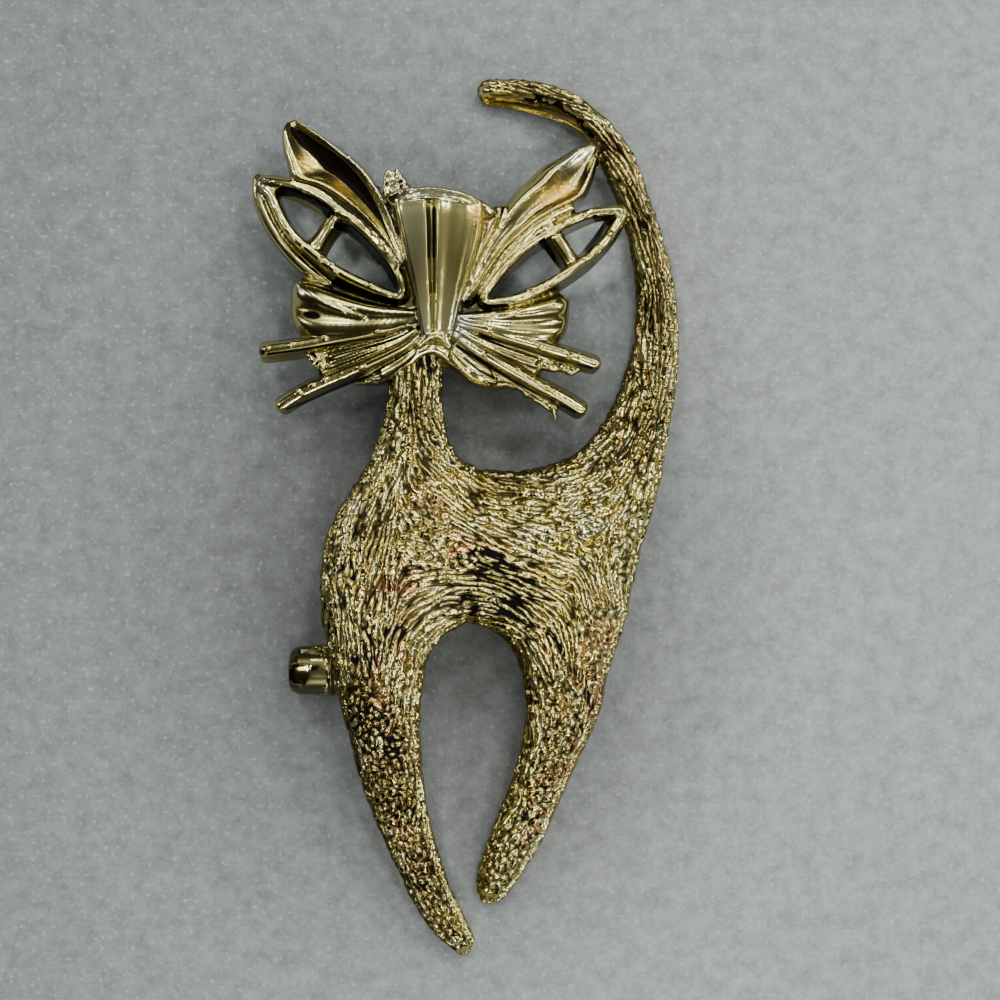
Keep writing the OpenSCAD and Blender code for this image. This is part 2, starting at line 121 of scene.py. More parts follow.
def loft(bm, rings, closed=False):
    """Skins rings of points: the first is drawn, and each further one is extruded from the last."""
    n = len(rings[0])
    row = [bm.verts.new(p) for p in rings[0]]
    first = [bm.edges.new((row[i], row[(i + 1) % n])) for i in range(n)]
    edges = first
    for ring in rings[1:]:
        made = set(points(bmesh.ops.extrude_edge_only(bm, edges=edges)["geom"]))
        row = [next(e.other_vert(v) for e in v.link_edges if e.other_vert(v) in made) for v in row]
        for v, p in zip(row, ring):
            v.co = p
        edges = [bm.edges.get((row[i], row[(i + 1) % n])) for i in range(n)]
    if closed:
        bmesh.ops.bridge_loops(bm, edges=edges + first)
    else:
        bmesh.ops.contextual_create(bm, geom=first)
        bmesh.ops.contextual_create(bm, geom=edges)


# Angles of the points across a rod's crest, and along its round end.
CREST = [math.radians(a) for a in (-90, -68, -46, -23, 0, 23, 46, 68, 90)]
ROUND_END = [math.radians(a) for a in (25, 50, 72, 86)]
# How far the rings of a square end reach, and how far they drop.
SQUARE_END = ((0.12, 0.03), (0.22, 0.18), (0.38, 0.75), (0.52, 1.4))


def ended(rows, *tail):
    """Rows of a table that all end in the same values."""
    return [(*row, *tail) for row in rows]


def rod(bm, rows, steps=5, closed=False, ends=("round", "round"), crown=1.0):
    """A cast rod: a rounded crest on drafted walls.

    The columns are pixel x, pixel y, height of the crest, half width, spread of the left foot,
    spread of the right foot and height of the feet, left and right being those of the way it runs.
    """
    path = []
    for px, py, top, half, left, right, foot in smooth_rows(rows, steps, closed):
        path.append((at(px, py, top), max(half, 0.02), max(left, 0.0), max(right, 0.0), foot))
    n = len(path)

    def section(p, side, half, left, right, foot, drop=0.0):
        top = p.z - drop
        fall = half * crown
        foot = min(foot, top - fall - 0.05)
        waist = (top - fall + foot) / 2
        places = [(-0.75 * (half + left), foot), (-half - left, foot), (-half - left * 0.35, waist)]
        places += [(half * math.sin(a), top - fall * (1 - math.cos(a))) for a in CREST]
        places += [(half + right * 0.35, waist), (half + right, foot), (0.75 * (half + right), foot)]
        return [Vector((p.x, p.y, 0)) + side * across + Vector((0, 0, z)) for across, z in places]

    rings = []
    for i, (p, half, left, right, foot) in enumerate(path):
        before, after = (i - 1, (i + 1) % n) if closed else (max(i - 1, 0), min(i + 1, n - 1))
        along = path[after][0] - path[before][0]
        along.z = 0
        along.normalize()
        side = Vector((along.y, -along.x, 0))
        caps = []
        if not closed and i in (0, n - 1):
            out, kind = (-along, ends[0]) if i == 0 else (along, ends[1])
            if kind == "round":
                for a in ROUND_END:
                    c = math.cos(a)
                    middle = p + out * half * math.sin(a)
                    caps.append(section(middle, side, half * c, left * c, right * c, foot, half * crown * (1 - c)))
            elif kind == "square":
                for reach, drop in SQUARE_END:
                    caps.append(section(p + out * reach, side, half * (1 - reach * 0.3), left, right, foot, drop))
        ring = section(p, side, half, left, right, foot)
        rings += [*caps[::-1], ring] if i == 0 else [ring, *caps]
    loft(bm, rings, closed)


def strip(bm, rows, start, end, steps=6, fine=4, foot=WALL_FOOT, spread=(0.3, 0.3), full=2.0, bow=0.0, fade=0.0):
    """A fluted strip: rows of two edge points and a height, with a profile that changes from start to end.

    The columns are first edge x, y, second edge x, y, in pixels, and the height.
    Where the strip is narrower than full, its flutes get shallower, and they fade in over the first share of it.
    """
    path = smooth_rows(rows, steps)
    a_pts, b_pts = smooth_rows(start, fine), smooth_rows(end, fine)
    rings = []
    for i, (ax, ay, bx, by, top) in enumerate(path):
        s = i / (len(path) - 1)
        a, b = at(ax, ay, top), at(bx, by, top)
        w = max((b - a).length, 0.02)
        u = (b - a) / w
        slim = min(1.0, w / full) * (min(1.0, s / fade) ** 0.7 if fade else 1.0)
        if i < len(path) - 1:
            nxt = path[i + 1]
            way = at((nxt[0] + nxt[2]) / 2, (nxt[1] + nxt[3]) / 2, 0) - at((ax + bx) / 2, (ay + by) / 2, 0)
            if way.length > 1e-6:
                way.normalize()
        ring = []
        for (ta, za), (tb, zb) in zip(a_pts, b_pts):
            t, z = ta + (tb - ta) * s, za + (zb - za) * s
            bend = -bow * math.sin(math.pi * min(max(t, 0), 1)) * (1 - s)
            ring.append(a + u * (w * t) + way * bend + Vector((0, 0, z * slim)))
        low = min(foot, top - 0.3)
        for across in (w + spread[1] * slim, w * 0.85, w * 0.15, -spread[0] * slim):
            ring.append(Vector((*(a + u * across).xy, low)))
        rings.append(ring)
    loft(bm, rings)


def block(outline, level, foot, height):
    """A closed block over an outline of pixels, as they show at the given level."""
    bm = bmesh.new()
    face = bm.faces.new([bm.verts.new((*at(px, py, level).xy, foot)) for px, py in outline])
    top = bmesh.ops.extrude_face_region(bm, geom=[face])["geom"]
    bmesh.ops.translate(bm, vec=(0, 0, height), verts=points(top))
    return bm


def outward(bm):
    bmesh.ops.recalc_face_normals(bm, faces=bm.faces[:])


def divide_caps(bm):
    """Cuts faces with many corners into triangles."""
    bmesh.ops.triangulate(bm, faces=[f for f in bm.faces if len(f.verts) > 4])


def new_object(name, bm):
    """Ends the making of a mesh and gives it an object."""
    mesh = bpy.data.meshes.new(name)
    bm.to_mesh(mesh)
    bm.free()
    obj = bpy.data.objects.new(name, mesh)
    bpy.context.scene.collection.objects.link(obj)
    return obj


def remove(obj):
    mesh = obj.data
    bpy.data.objects.remove(obj)
    bpy.data.meshes.remove(mesh)


def head_part(name, bm, levels=1):
    """Finishes a part of the head: closed, facing outward and smooth. It is fused with the others later."""
    outward(bm)
    obj = new_object(name, bm)
    if levels:
        sub = obj.modifiers.new("Subdivision", "SUBSURF")
        sub.levels = sub.render_levels = levels
        applied(obj)
    HEAD_PARTS.append(obj)


def cast(name, make, *rows, **options):
    """Makes a part of the head with rod or strip."""
    bm = bmesh.new()
    make(bm, *rows, **options)
    head_part(name, bm)


def settle(obj, material):
    """Takes a finished casting from millimetres to metres, gives it its metal and lets it ride on the brooch."""
    mesh = obj.data
    mesh.transform(Matrix.Scale(MM, 4))
    mesh.materials.clear()
    mesh.materials.append(material)
    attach(obj, "root")
    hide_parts("cat_casting")


def fuse(obj, voxel, smoothing):
    """Turns overlapping closed shells into one skin with eased creases."""
    grain = obj.modifiers.new("Grain", "REMESH")
    grain.mode = "VOXEL"
    grain.voxel_size = voxel
    ease = obj.modifiers.new("Ease", "SMOOTH")
    ease.iterations = smoothing
    ease.factor = 0.5
    return applied(obj)


def coarsen(obj, back, keep):
    """Thins the mesh where its normals are lower than back, so about that many triangles are left there."""
    mesh = obj.data
    behind = np.nonzero(directions(mesh)[:, 2] < back)[0]
    group = obj.vertex_groups.new(name="back")
    group.add(behind.tolist(), 1.0, "REPLACE")
    thin = obj.modifiers.new("Thin", "DECIMATE")
    thin.ratio = 1 - len(behind) / len(mesh.vertices) + keep / (2 * len(mesh.polygons))
    thin.vertex_group = "back"
    mesh = applied(obj)
    obj.vertex_groups.clear()
    return mesh


def settle_halves(obj, names, place, way, material):
    """Parts a casting along a plane in two closed pieces, so neither has too many triangles, and settles them."""
    for name, sign in zip(names, (1, -1)):
        out = Vector(way) * sign
        bm = bmesh.new()
        bm.from_mesh(obj.data)
        everything = bm.verts[:] + bm.edges[:] + bm.faces[:]
        bmesh.ops.bisect_plane(bm, geom=everything, dist=1e-6, plane_co=place, plane_no=out, clear_outer=True)
        rim = [e for e in bm.edges if e.is_boundary]
        made = bmesh.ops.triangle_fill(bm, edges=rim, use_beauty=False, use_dissolve=False, normal=out)["geom"]
        for edge in rim:
            edge.smooth = False
        for face in made:
            if isinstance(face, bmesh.types.BMFace):
                face.smooth = False
                if face.normal.dot(out) < 0:
                    face.normal_flip()
        settle(new_object(name, bm), material)
    remove(obj)


def smooth(mesh):
    mesh.polygons.foreach_set("use_smooth", np.ones(len(mesh.polygons), bool))


def applied(obj):
    """Applies a piece's modifiers to its mesh, and returns the mesh."""
    dg = bpy.context.evaluated_depsgraph_get()
    mesh = bpy.data.meshes.new_from_object(obj.evaluated_get(dg))
    old = obj.data
    obj.modifiers.clear()
    obj.data = mesh
    mesh.name = old.name
    bpy.data.meshes.remove(old)
    smooth(mesh)
    return mesh


def vectors(items, key):
    """A vector of each item, as the rows of an array."""
    out = np.empty(len(items) * 3, np.float32)
    items.foreach_get(key, out)
    return out.reshape(-1, 3).astype(float)


def coordinates(mesh):
    return vectors(mesh.vertices, "co")


def directions(mesh):
    return vectors(mesh.vertex_normals, "vector")


def mark(mesh, name, values):
    """Keeps one number for each point of a mesh, for its material to read."""
    layer = mesh.attributes.get(name) or mesh.attributes.new(name, "FLOAT", "POINT")
    layer.data.foreach_set("value", np.asarray(values, np.float32))


def place_in_box(mesh, co):
    """Moves a mesh's points to places that are held inside the solid model's box."""
    low, high = [np.array(v) / MM for v in CAD_BOX]
    co = np.clip(co, low + (CLEAR, CLEAR, 0), high - CLEAR)
    mesh.vertices.foreach_set("co", co.ravel())
    mesh.update()
    return co


def pixel_of(co):
    """Where the photograph shows points of the model."""
    k = CAM_F / (CAM_H - co[:, 2])
    return 500 + (co[:, 0] - CAM_AT[0]) * k, 500 - (co[:, 1] - CAM_AT[1]) * k


def patches(px, py, spots):
    """How far points lie in soft spots: centre, half width, half height, turn in degrees and strength."""
    out = np.zeros(len(px))
    for cx, cy, rx, ry, turn, strength in spots:
        c, s = math.cos(math.radians(turn)), math.sin(math.radians(turn))
        dx, dy = px - cx, py - cy
        d = ((dx * c + dy * s) / rx) ** 2 + ((dy * c - dx * s) / ry) ** 2
        out = np.maximum(out, strength * np.exp(-d * 1.2))
    return out


def recess(co, reach):
    """How far points lie below the mean height of what is round them, seen from above."""
    left, bottom, cell, shape = -15.7, -32.3, 0.12, (540, 264)
    x, y = (co[:, 0] - left) / cell, (co[:, 1] - bottom) / cell
    top = np.zeros(shape)
    np.maximum.at(top, (y.astype(int), x.astype(int)), co[:, 2])
    mean = blurred(top, reach) / np.maximum(blurred((top > 0).astype(float), reach), 1e-3)
    return sampled(mean, x - 0.5, y - 0.5) - co[:, 2]


class Socket:
    """A value in a material that can be reckoned with like a number."""

    def __init__(self, link):
        self.link = link

    def node(self, kind, out=0, settings=(), **values):
        """Any node of the same material, as a value: its type, its output, its settings, and what its sockets get.

        In a socket's name _ stands for a space, and i with a number is the socket with that number.
        """
        made = self.link.id_data.nodes.new(kind)
        for key, value in dict(settings).items():
            setattr(made, key, value)
        for key, value in values.items():
            counted = key[0] == "i" and key[1:].isdigit()
            feed(made.inputs[int(key[1:]) if counted else key.replace("_", " ")], value)
        return Socket(made.outputs[out])

    def maths(self, operation, *values, kind="ShaderNodeMath", out=0):
        sockets = {"i%d" % i: value for i, value in enumerate(values)}
        return self.node(kind, out, {"operation": operation}, **sockets)

    def __add__(self, other):
        return self.maths("ADD", self, other)

    __radd__ = __add__

    def __mul__(self, other):
        return self.maths("MULTIPLY", self, other)

    __rmul__ = __mul__

    def __sub__(self, other):
        return self.maths("SUBTRACT", self, other)

    def __rsub__(self, other):
        return self.maths("SUBTRACT", other, self)

    def clamp(self, low=0.0, high=1.0):
        return self.maths("MINIMUM", self.maths("MAXIMUM", self, low), high)

    def noise(self, scale, detail=2.0, rough=0.5):
        """Noise at this place."""
        return self.node("ShaderNodeTexNoise", "Fac", Vector=self, Scale=scale, Detail=detail, Roughness=rough)

    def bump(self, strength, distance, **normal):
        """The normal of a surface that has this value as its height."""
        return self.node("ShaderNodeBump", Strength=strength, Distance=distance, Height=self, **normal)

    def marks(self, names):
        """Numbers that mark() kept for the points of the mesh."""
        return [self.node("ShaderNodeAttribute", "Fac", {"attribute_name": name}) for name in names.split()]


def feed(socket, value):
    if isinstance(value, Socket):
        socket.id_data.links.new(value.link, socket)
    else:
        socket.default_value = value


def mixed(factor, first, second):
    """A colour between two, each of which is a value or three numbers."""
    first, second = [v if isinstance(v, Socket) else (*v, 1.0) for v in (first, second)]
    return factor.node("ShaderNodeMix", 2, {"data_type": "RGBA"}, i0=factor, i6=first, i7=second)


def new_material(name):
    """A new material, its shader, and the place on the object."""
    material = bpy.data.materials.new(name)
    material.use_nodes = True
    tree = material.node_tree
    tree.nodes.clear()
    shader = tree.nodes.new("ShaderNodeBsdfPrincipled")
    out = tree.nodes.new("ShaderNodeOutputMaterial")
    tree.links.new(shader.outputs[0], out.inputs[0])
    return material, shader, Socket(tree.nodes.new("ShaderNodeTexCoord").outputs["Object"])


def finish(shader, **values):
    """Feeds a shader, with _ for a space."""
    for key, value in values.items():
        feed(shader.inputs[key.replace("_", " ")], value)


# Colours of the darkest and the brightest places: painted shade on gold that turns away from the light, black for
# tarnish and painted shade on the body, painted shade on the head, a painted amber reflection, and painted black
# reflections and shade.
PAINTED_SHADE_GOLD = (0.17, 0.135, 0.038)
STAIN_AND_SHADE_BLACK = (0.013, 0.011, 0.010)
PAINTED_HEAD_SHADE = (0.055, 0.048, 0.014)
PAINTED_AMBER_GLINT = (0.95, 0.52, 0.05)
PAINTED_BLACK_COLOUR = (0.007, 0.005, 0.004)


def cast_finish(name):
    """The textured body: plated, worn pale on its ridges, tarnished in its grooves, with rose and grey stains, black
    tarnish with painted black shade in it, and painted shade on its steep sides and in dim spots.
    """
    colours = bpy.context.scene.brooch_colours
    material, shader, place = new_material(name)
    hair, worked, bead, tint, side, tarnish, rose, grey = place.marks("hair worked bead tint side tarnish rose grey")
    ridge = (hair.maths("POWER", hair.maths("ABSOLUTE", hair), HAIR_POWER) * 0.91).clamp()
    relief = ridge * (bead * 0.35 + 0.80) * worked + (1.0 - worked) * 0.8
    blotch, speck = place.noise(900.0, 3.0), place.noise(4200.0)
    gold = mixed((blotch * 1.4 + tint * 0.8 - 0.7).clamp(), colours.gold, colours.gold_deep)
    gold = mixed((grey * (1.6 - tint * 2.4)).clamp(), gold, colours.pale)
    gold = mixed((rose * (tint * 3.0 - 1.1)).clamp(), gold, colours.rose)
    # Painted shade: the steep sides and the listed dim spots turn towards dim gold.
    gold = mixed(side * 0.9, gold, PAINTED_SHADE_GOLD)
    groove = ((0.60 - relief) * 3.4).clamp() * 0.95
    # Black where the tarnish mark is strong: black tarnish, and painted black shade held in the same mark.
    stain_and_shade = (tarnish * 1.4).clamp() * (blotch * 0.6 + 0.5)
    black = ((stain_and_shade * 0.90 + (speck - 0.5) * 0.4 - relief) * 5.0).clamp()
    grain = place.noise(5200.0, 2.0, 0.6).bump(0.3, 0.00005)
    finish(
        shader, Base_Color=mixed(black, mixed(groove, gold, colours.tarnish), STAIN_AND_SHADE_BLACK), Metallic=1.0,
        Roughness=(0.14 + groove * 0.25 + black * 0.35 + blotch * 0.06).clamp(0.05, 0.9),
        Normal=relief.bump(0.7, 0.00010, Normal=grain))
    return material


def polished_finish(name):
    """The polished head: bright plating, worn to grey metal in places, with painted shade, painted amber glints, and
    painted black reflections and shade along its flutes.
    """
    colours = bpy.context.scene.brooch_colours
    material, shader, place = new_material(name)
    worn, dirt, sparkle, shade = place.marks("worn dirt sparkle shade")
    blotch, speck = place.noise(700.0, 3.0), place.noise(3800.0)
    gold = mixed((blotch * 2.0 - 0.6).clamp(), colours.head_gold, colours.head_deep)
    gold = mixed((worn * (blotch * 0.9 + 0.5)).clamp(), gold, colours.worn)
    # Painted shade: hollows, steep walls and listed spots turn dark.
    gold = mixed(shade, gold, PAINTED_HEAD_SHADE)
    # Painted amber glints in the sparkle spots.
    gold = mixed((sparkle * (speck * 5.0 - 1.7)).clamp(), gold, PAINTED_AMBER_GLINT)
    rough = place.noise(420.0, 1.0) * 0.8 + place.noise(2200.0, 1.0) * 0.12 + sparkle * speck * 1.5
    finish(
        # Painted black: dark reflections on walls and shade in creases and pockets.
        shader, Base_Color=mixed((dirt * 2.2 + speck * 0.5 - 0.9).clamp(), gold, PAINTED_BLACK_COLOUR), Metallic=1.0,
        Roughness=(0.17 + dirt * 0.25 + blotch * 0.07 + sparkle * 0.15).clamp(0.05, 0.9),
        Normal=rough.bump(0.5, 0.00010))
    return material


def wire_finish(name):
    """The drawn pin wire, smooth, with faint lengthwise scratches."""
    colours = bpy.context.scene.brooch_colours
    material, shader, place = new_material(name)
    stretch = place.node("ShaderNodeMapping", Vector=place, Rotation=(0, 0, math.radians(-22)), Scale=(1, 14, 14))
    line = stretch.noise(500.0)
    finish(
        shader, Base_Color=mixed(line, colours.gold, colours.gold_deep), Metallic=1.0,
        Roughness=(0.16 + line * 0.16).clamp(0.05, 0.9), Normal=line.bump(0.3, 0.00002))
    return material


def material_named(name, make):
    return bpy.data.materials.get(name) or make(name)


# The way the hair lies on the body: pixel x, y, and the angle of the strokes above the level.
STROKES = [
    (415, 400, 90), (400, 440, 88), (370, 470, 62), (440, 440, 120), (455, 470, 140), (470, 480, 150),
    (520, 485, 178), (560, 478, 15), (600, 450, 42), (640, 420, 65), (350, 510, 68), (340, 540, 78),
    (330, 590, 92), (345, 650, 100), (385, 520, 70), (420, 520, 150), (460, 520, 148), (500, 545, 155),
    (545, 560, 160), (560, 520, 170), (470, 575, 165), (435, 602, 25), (450, 590, 6), (467, 597, 0),
    (482, 592, -5), (496, 605, -18), (510, 615, -30), (430, 625, 45), (410, 660, 75), (380, 600, 85),
    (535, 660, -65), (545, 700, -88), (600, 600, 105), (590, 650, 100), (650, 480, 72), (630, 560, 76),
    (600, 690, 72), (570, 740, 68), (380, 740, 103), (360, 700, 100), (410, 830, 112), (440, 900, 120),
    (560, 760, 65), (520, 830, 63), (495, 870, 62), (655, 380, 80), (657, 330, 90), (652, 260, 102),
    (635, 200, 113), (610, 150, 128), (570, 115, 155), (520, 97, 172)]

# Black tarnish with painted shade in it (the shadow under the lip, broad dark spots on the legs, the tail and the
# neck), painted shade, rose tints and grey wear on the body: pixel x, y, half sizes, turn, strength.
TARNISH_AND_SHADE = [
    (502, 594, 42, 40, 20, 1.35), (488, 562, 36, 18, 25, 1.1), (460, 560, 16, 14, 0, 0.9),
    (424, 535, 9, 9, 0, 0.8), (325, 622, 10, 34, 0, 1.2), (360, 658, 24, 9, 5, 0.9),
    (362, 728, 34, 34, 20, 1.3), (390, 750, 20, 24, 0, 1), (400, 705, 14, 12, 0, 0.8),
    (425, 885, 12, 9, 0, 0.9), (560, 640, 24, 22, 0, 0.7), (545, 790, 14, 10, 0, 0.7),
    (600, 645, 10, 7, 0, 0.7), (660, 420, 12, 9, 0, 0.7), (455, 935, 10, 8, 0, 0.7), (486, 893, 12, 8, 0, 0.7),
    (395, 560, 50, 30, 0, 0.45), (380, 650, 50, 70, 0, 0.5), (400, 800, 40, 120, -15, 0.55),
    (590, 700, 30, 80, 15, 0.42), (545, 800, 40, 80, 25, 0.45), (612, 150, 26, 18, 40, 0.7),
    (640, 220, 12, 60, -10, 0.55), (645, 330, 16, 90, 0, 0.5), (640, 430, 22, 50, 15, 0.45),
    (415, 420, 34, 40, 0, 0.5), (560, 130, 40, 20, 25, 0.5), (345, 560, 16, 70, 0, 0.5),
    (432, 362, 18, 9, 0, 1.4)]
# Painted shade on the body: spots that darken the tail, the neck, the legs, the chest and the belly.
PAINTED_SHADE_SPOTS = [
    (540, 100, 60, 20, 12, 0.6), (600, 145, 40, 26, 45, 1), (640, 215, 24, 66, -12, 1),
    (656, 310, 24, 80, 0, 1), (655, 400, 26, 66, 8, 1), (615, 455, 30, 24, -30, 0.6),
    (418, 420, 44, 56, 0, 0.9), (358, 700, 32, 80, -8, 1), (380, 780, 44, 80, -15, 0.95),
    (425, 880, 44, 80, -22, 0.85), (575, 740, 40, 100, 18, 0.6), (330, 600, 14, 60, 0, 0.8),
    (500, 870, 34, 44, 30, 0.5), (505, 600, 44, 38, 20, 0.7), (440, 640, 20, 40, 10, 0.5),
    (375, 550, 40, 70, 0, 0.45)]
ROSE = [
    (385, 670, 22, 60, 0, 0.9), (400, 590, 40, 26, 0, 0.6), (380, 760, 26, 40, 0, 0.75),
    (410, 850, 24, 60, -20, 0.55), (462, 555, 14, 10, 0, 1), (430, 500, 30, 20, 0, 0.5),
    (590, 700, 26, 60, 20, 0.6), (600, 640, 30, 22, 0, 0.65), (545, 640, 20, 20, 0, 0.4),
    (600, 440, 26, 26, 0, 0.5), (600, 150, 26, 22, 30, 0.7), (640, 200, 16, 60, 0, 0.35),
    (652, 300, 18, 60, 0, 0.2), (550, 800, 26, 60, 25, 0.5), (480, 540, 30, 20, 0, 0.3)]
GREY = [
    (590, 520, 60, 46, 20, 0.85), (620, 470, 30, 30, 0, 0.6), (350, 510, 22, 34, 10, 0.6),
    (400, 470, 34, 26, 0, 0.5), (330, 600, 10, 40, 0, 0.6), (540, 530, 46, 26, 0, 0.5),
    (355, 770, 14, 40, -10, 0.6), (600, 600, 22, 30, 0, 0.5), (420, 420, 30, 40, 0, 0.5),
    (660, 380, 20, 90, 0, 0.4), (430, 900, 20, 50, -20, 0.4), (540, 850, 26, 60, 25, 0.4)]

# Where the texture is beads: the legs and the outside of the haunch.
BEADED = [
    (375, 720, 36, 60, -8, 1), (405, 810, 34, 70, -18, 1), (445, 900, 26, 50, -22, 1),
    (560, 700, 26, 70, 5, 0.7), (600, 640, 30, 60, 15, 0.8), (560, 780, 34, 70, 22, 1),
    (510, 860, 28, 40, 30, 1), (630, 540, 22, 50, 12, 0.8), (425, 525, 34, 44, 0, 1), (462, 556, 20, 16, 0, 1),
    (350, 560, 16, 40, 0, 0.5)]
# Where it is a crackle of thin lines.
CRACKLE = [(585, 520, 46, 44, 20, 1.0), (610, 470, 26, 24, 0, 0.6)]
# The smooth inner wall of the tail's end: its ridge, from the tip.
TAIL_RIDGE = [(484, 91), (500, 89), (517, 89), (540, 92), (560, 99), (580, 111), (596, 127), (606, 141)]

# The head seen from the front, round which the body is cut away.
HEAD_CUT = [
    (232, 100), (470, 150), (540, 138), (575, 148), (594, 152), (603, 176), (617, 200), (624, 212), (620, 236),
    (600, 268), (588, 300), (600, 330), (606, 380), (594, 428), (545, 430), (508, 404), (470, 396), (454, 392),
    (382, 392), (368, 398), (270, 430), (228, 405)]
NECK_CUT = 392
HEAD_CUT_LEVEL = 6.0
# How far the cut end of the neck is drawn out under the chin.
NECK_RUN = (0.2, 3.0, 0.2)

# Smooth places of the body: the root of the catch, and the tips of the feet and of the tail.
CATCH_ROOT = [(306, 672, 20, 26, 0, 1.0)]
TIPS = [(462, 944, 8, 10, 0, 0.8), (492, 892, 9, 9, 0, 0.7), (484, 92, 7, 9, 0, 0.8)]

# How many triangles the plain backs keep.
BODY_BACK_KEEP = 24000
HEAD_BACK_KEEP = 16000
# Makes the grooves of the hair narrow and its ridges broad, in the relief and in the material alike.
HAIR_POWER = 0.6
# The height in the relief that lies at the casting's own surface, and the step behind the end of the tail.
RELIEF_LEVEL = 0.75
TAIL_STEP = 0.8


class BroochSizes(bpy.types.PropertyGroup):
    texture_depth: FloatProperty(
        name="Texture depth", description="Depth of the grooves of the body's texture",
        default=0.28, min=0.0, max=0.4)
    voxel: FloatProperty(
        name="Body grain", description="Size of the grain that the body's mesh is made of",
        default=0.105, min=0.08, max=0.3)
    head_voxel: FloatProperty(
        name="Head grain", description="Size of the grain that the head's mesh is made of",
        default=0.085, min=0.07, max=0.3)
    seed: IntProperty(name="Texture seed", description="Which of the many textures the body gets", default=7, min=0)


def colour_of(name, description, default):
    return FloatVectorProperty(name=name, description=description, subtype="COLOR", size=3, default=default)


class BroochColours(bpy.types.PropertyGroup):
    gold: colour_of("Gold", "Colour of the plating", (0.88, 0.80, 0.33))
    gold_deep: colour_of("Deep gold", "Colour of the thicker plating", (0.64, 0.50, 0.11))
    head_gold: colour_of("Head gold", "Colour of the head's plating", (0.64, 0.585, 0.235))
    head_deep: colour_of("Deep head gold", "Colour of the head's thicker plating", (0.58, 0.49, 0.14))
    pale: colour_of("Pale gold", "Colour of the lean plating", (0.60, 0.59, 0.35))
    worn: colour_of("Worn metal", "Colour where the plating is worn", (0.52, 0.54, 0.44))
    rose: colour_of("Rose tint", "Colour of the copper tinted places", (0.86, 0.46, 0.22))
    tarnish: colour_of("Tarnish", "Colour of the grooves", (0.022, 0.016, 0.006))
    floor: colour_of("Floor", "Colour of the pale floor", (0.306, 0.338, 0.334))


def flow(strokes, gx, gy):
    """The way of the strokes over a grid, as unit vectors. Opposite ways count as the same."""
    sx, sy = np.zeros_like(gx), np.zeros_like(gx)
    for px, py, angle in strokes:
        p = at(px, py, BODY_LEVEL)
        w = 1.0 / (((gx - p.x) ** 2 + (gy - p.y) ** 2) ** 1.5 + 0.4)
        sx += w * math.cos(math.radians(2 * angle))
        sy += w * math.sin(math.radians(2 * angle))
    turn = np.arctan2(sy, sx) / 2
    return np.cos(turn), np.sin(turn)


def blurred(a, sigma):
    reach = int(math.ceil(sigma * 3))
    w = np.exp(-0.5 * (np.arange(-reach, reach + 1) / sigma) ** 2)
    w /= w.sum()
    for axis in (0, 1):
        a = sum(k * np.roll(a, i - reach, axis) for i, k in enumerate(w))
    return a


def sampled(a, x, y):
    """Values of a grid between its points."""
    x = np.clip(x, 0, a.shape[1] - 1.001)
    y = np.clip(y, 0, a.shape[0] - 1.001)
    i, j = x.astype(int), y.astype(int)
    u, v = x - i, y - j
    return (a[j, i] * (1 - u) + a[j, i + 1] * u) * (1 - v) + (a[j + 1, i] * (1 - u) + a[j + 1, i + 1] * u) * v


def combed(seed, dx, dy, sigma, reach):
    """Noise that is combed along the strokes, so it forms ridges."""
    grain = np.random.RandomState(seed).standard_normal(dx.shape)
    grain = blurred(grain, sigma) - blurred(grain, sigma * 1.5)
    grain /= grain.std()
    rows, columns = np.mgrid[0:dx.shape[0], 0:dx.shape[1]].astype(float)
    total = grain.copy()
    for sign in (1, -1):
        x, y = columns.copy(), rows.copy()
        vx, vy = sign * dx, sign * dy
        for step in range(reach):
            x += vx
            y += vy
            nx, ny = sampled(dx, x, y), sampled(dy, x, y)
            flip = np.where(nx * vx + ny * vy < 0, -1.0, 1.0)
            vx, vy = nx * flip, ny * flip
            total += math.cos(math.pi / 2 * (step + 1) / (reach + 1)) * sampled(grain, x, y)
    return total / total.std()


# The grid that textures are worked out on: its corner and its cell, in millimetres, and its rows and columns.
GRID_AT = (-15.6, -32.2)
CELL = 0.06
GRID = (1077, 524)


def on_grid(co):
    """Where points lie on the grid, in columns and rows."""
    return (co[:, 0] - GRID_AT[0]) / CELL, (co[:, 1] - GRID_AT[1]) / CELL


def pebbles(seed, sigma):
    """Smooth random heights over the grid."""
    grain = blurred(np.random.RandomState(seed).standard_normal(GRID), sigma)
    return grain / grain.std()


def nuggets(seed, size, stretch, dx, dy):
    """Facets over the grid, longer along the strokes: how far inside, their tilt, and a number for each."""
    random = np.random.RandomState(seed)
    rows, columns = np.mgrid[0:dx.shape[0], 0:dx.shape[1]].astype(float)
    shape = (dx.shape[0] // size + 6, dx.shape[1] // size + 6)
    jitter = random.uniform(0, 1, (2, *shape))
    tilt = random.standard_normal((2, *shape))
    tint = random.uniform(0, 1, shape)
    row, column = (rows // size).astype(int) + 2, (columns // size).astype(int) + 2
    first = np.full(dx.shape, 1e9)
    second = first.copy()
    face, number = np.zeros_like(dx), np.zeros_like(dx)
    for i in range(-2, 3):
        for j in range(-2, 3):
            cell = (row + i, column + j)
            y = rows - (cell[0] - 2 + jitter[0][cell]) * size
            x = columns - (cell[1] - 2 + jitter[1][cell]) * size
            d = np.hypot((x * dx + y * dy) / stretch, y * dx - x * dy)
            near = d < first
            second = np.where(near, first, np.minimum(second, d))
            first = np.where(near, d, first)
            face = np.where(near, (tilt[0][cell] * x + tilt[1][cell] * y) / size, face)
            number = np.where(near, tint[cell], number)
    return np.clip((second - first) / size * 2.4, 0, 1), face, number


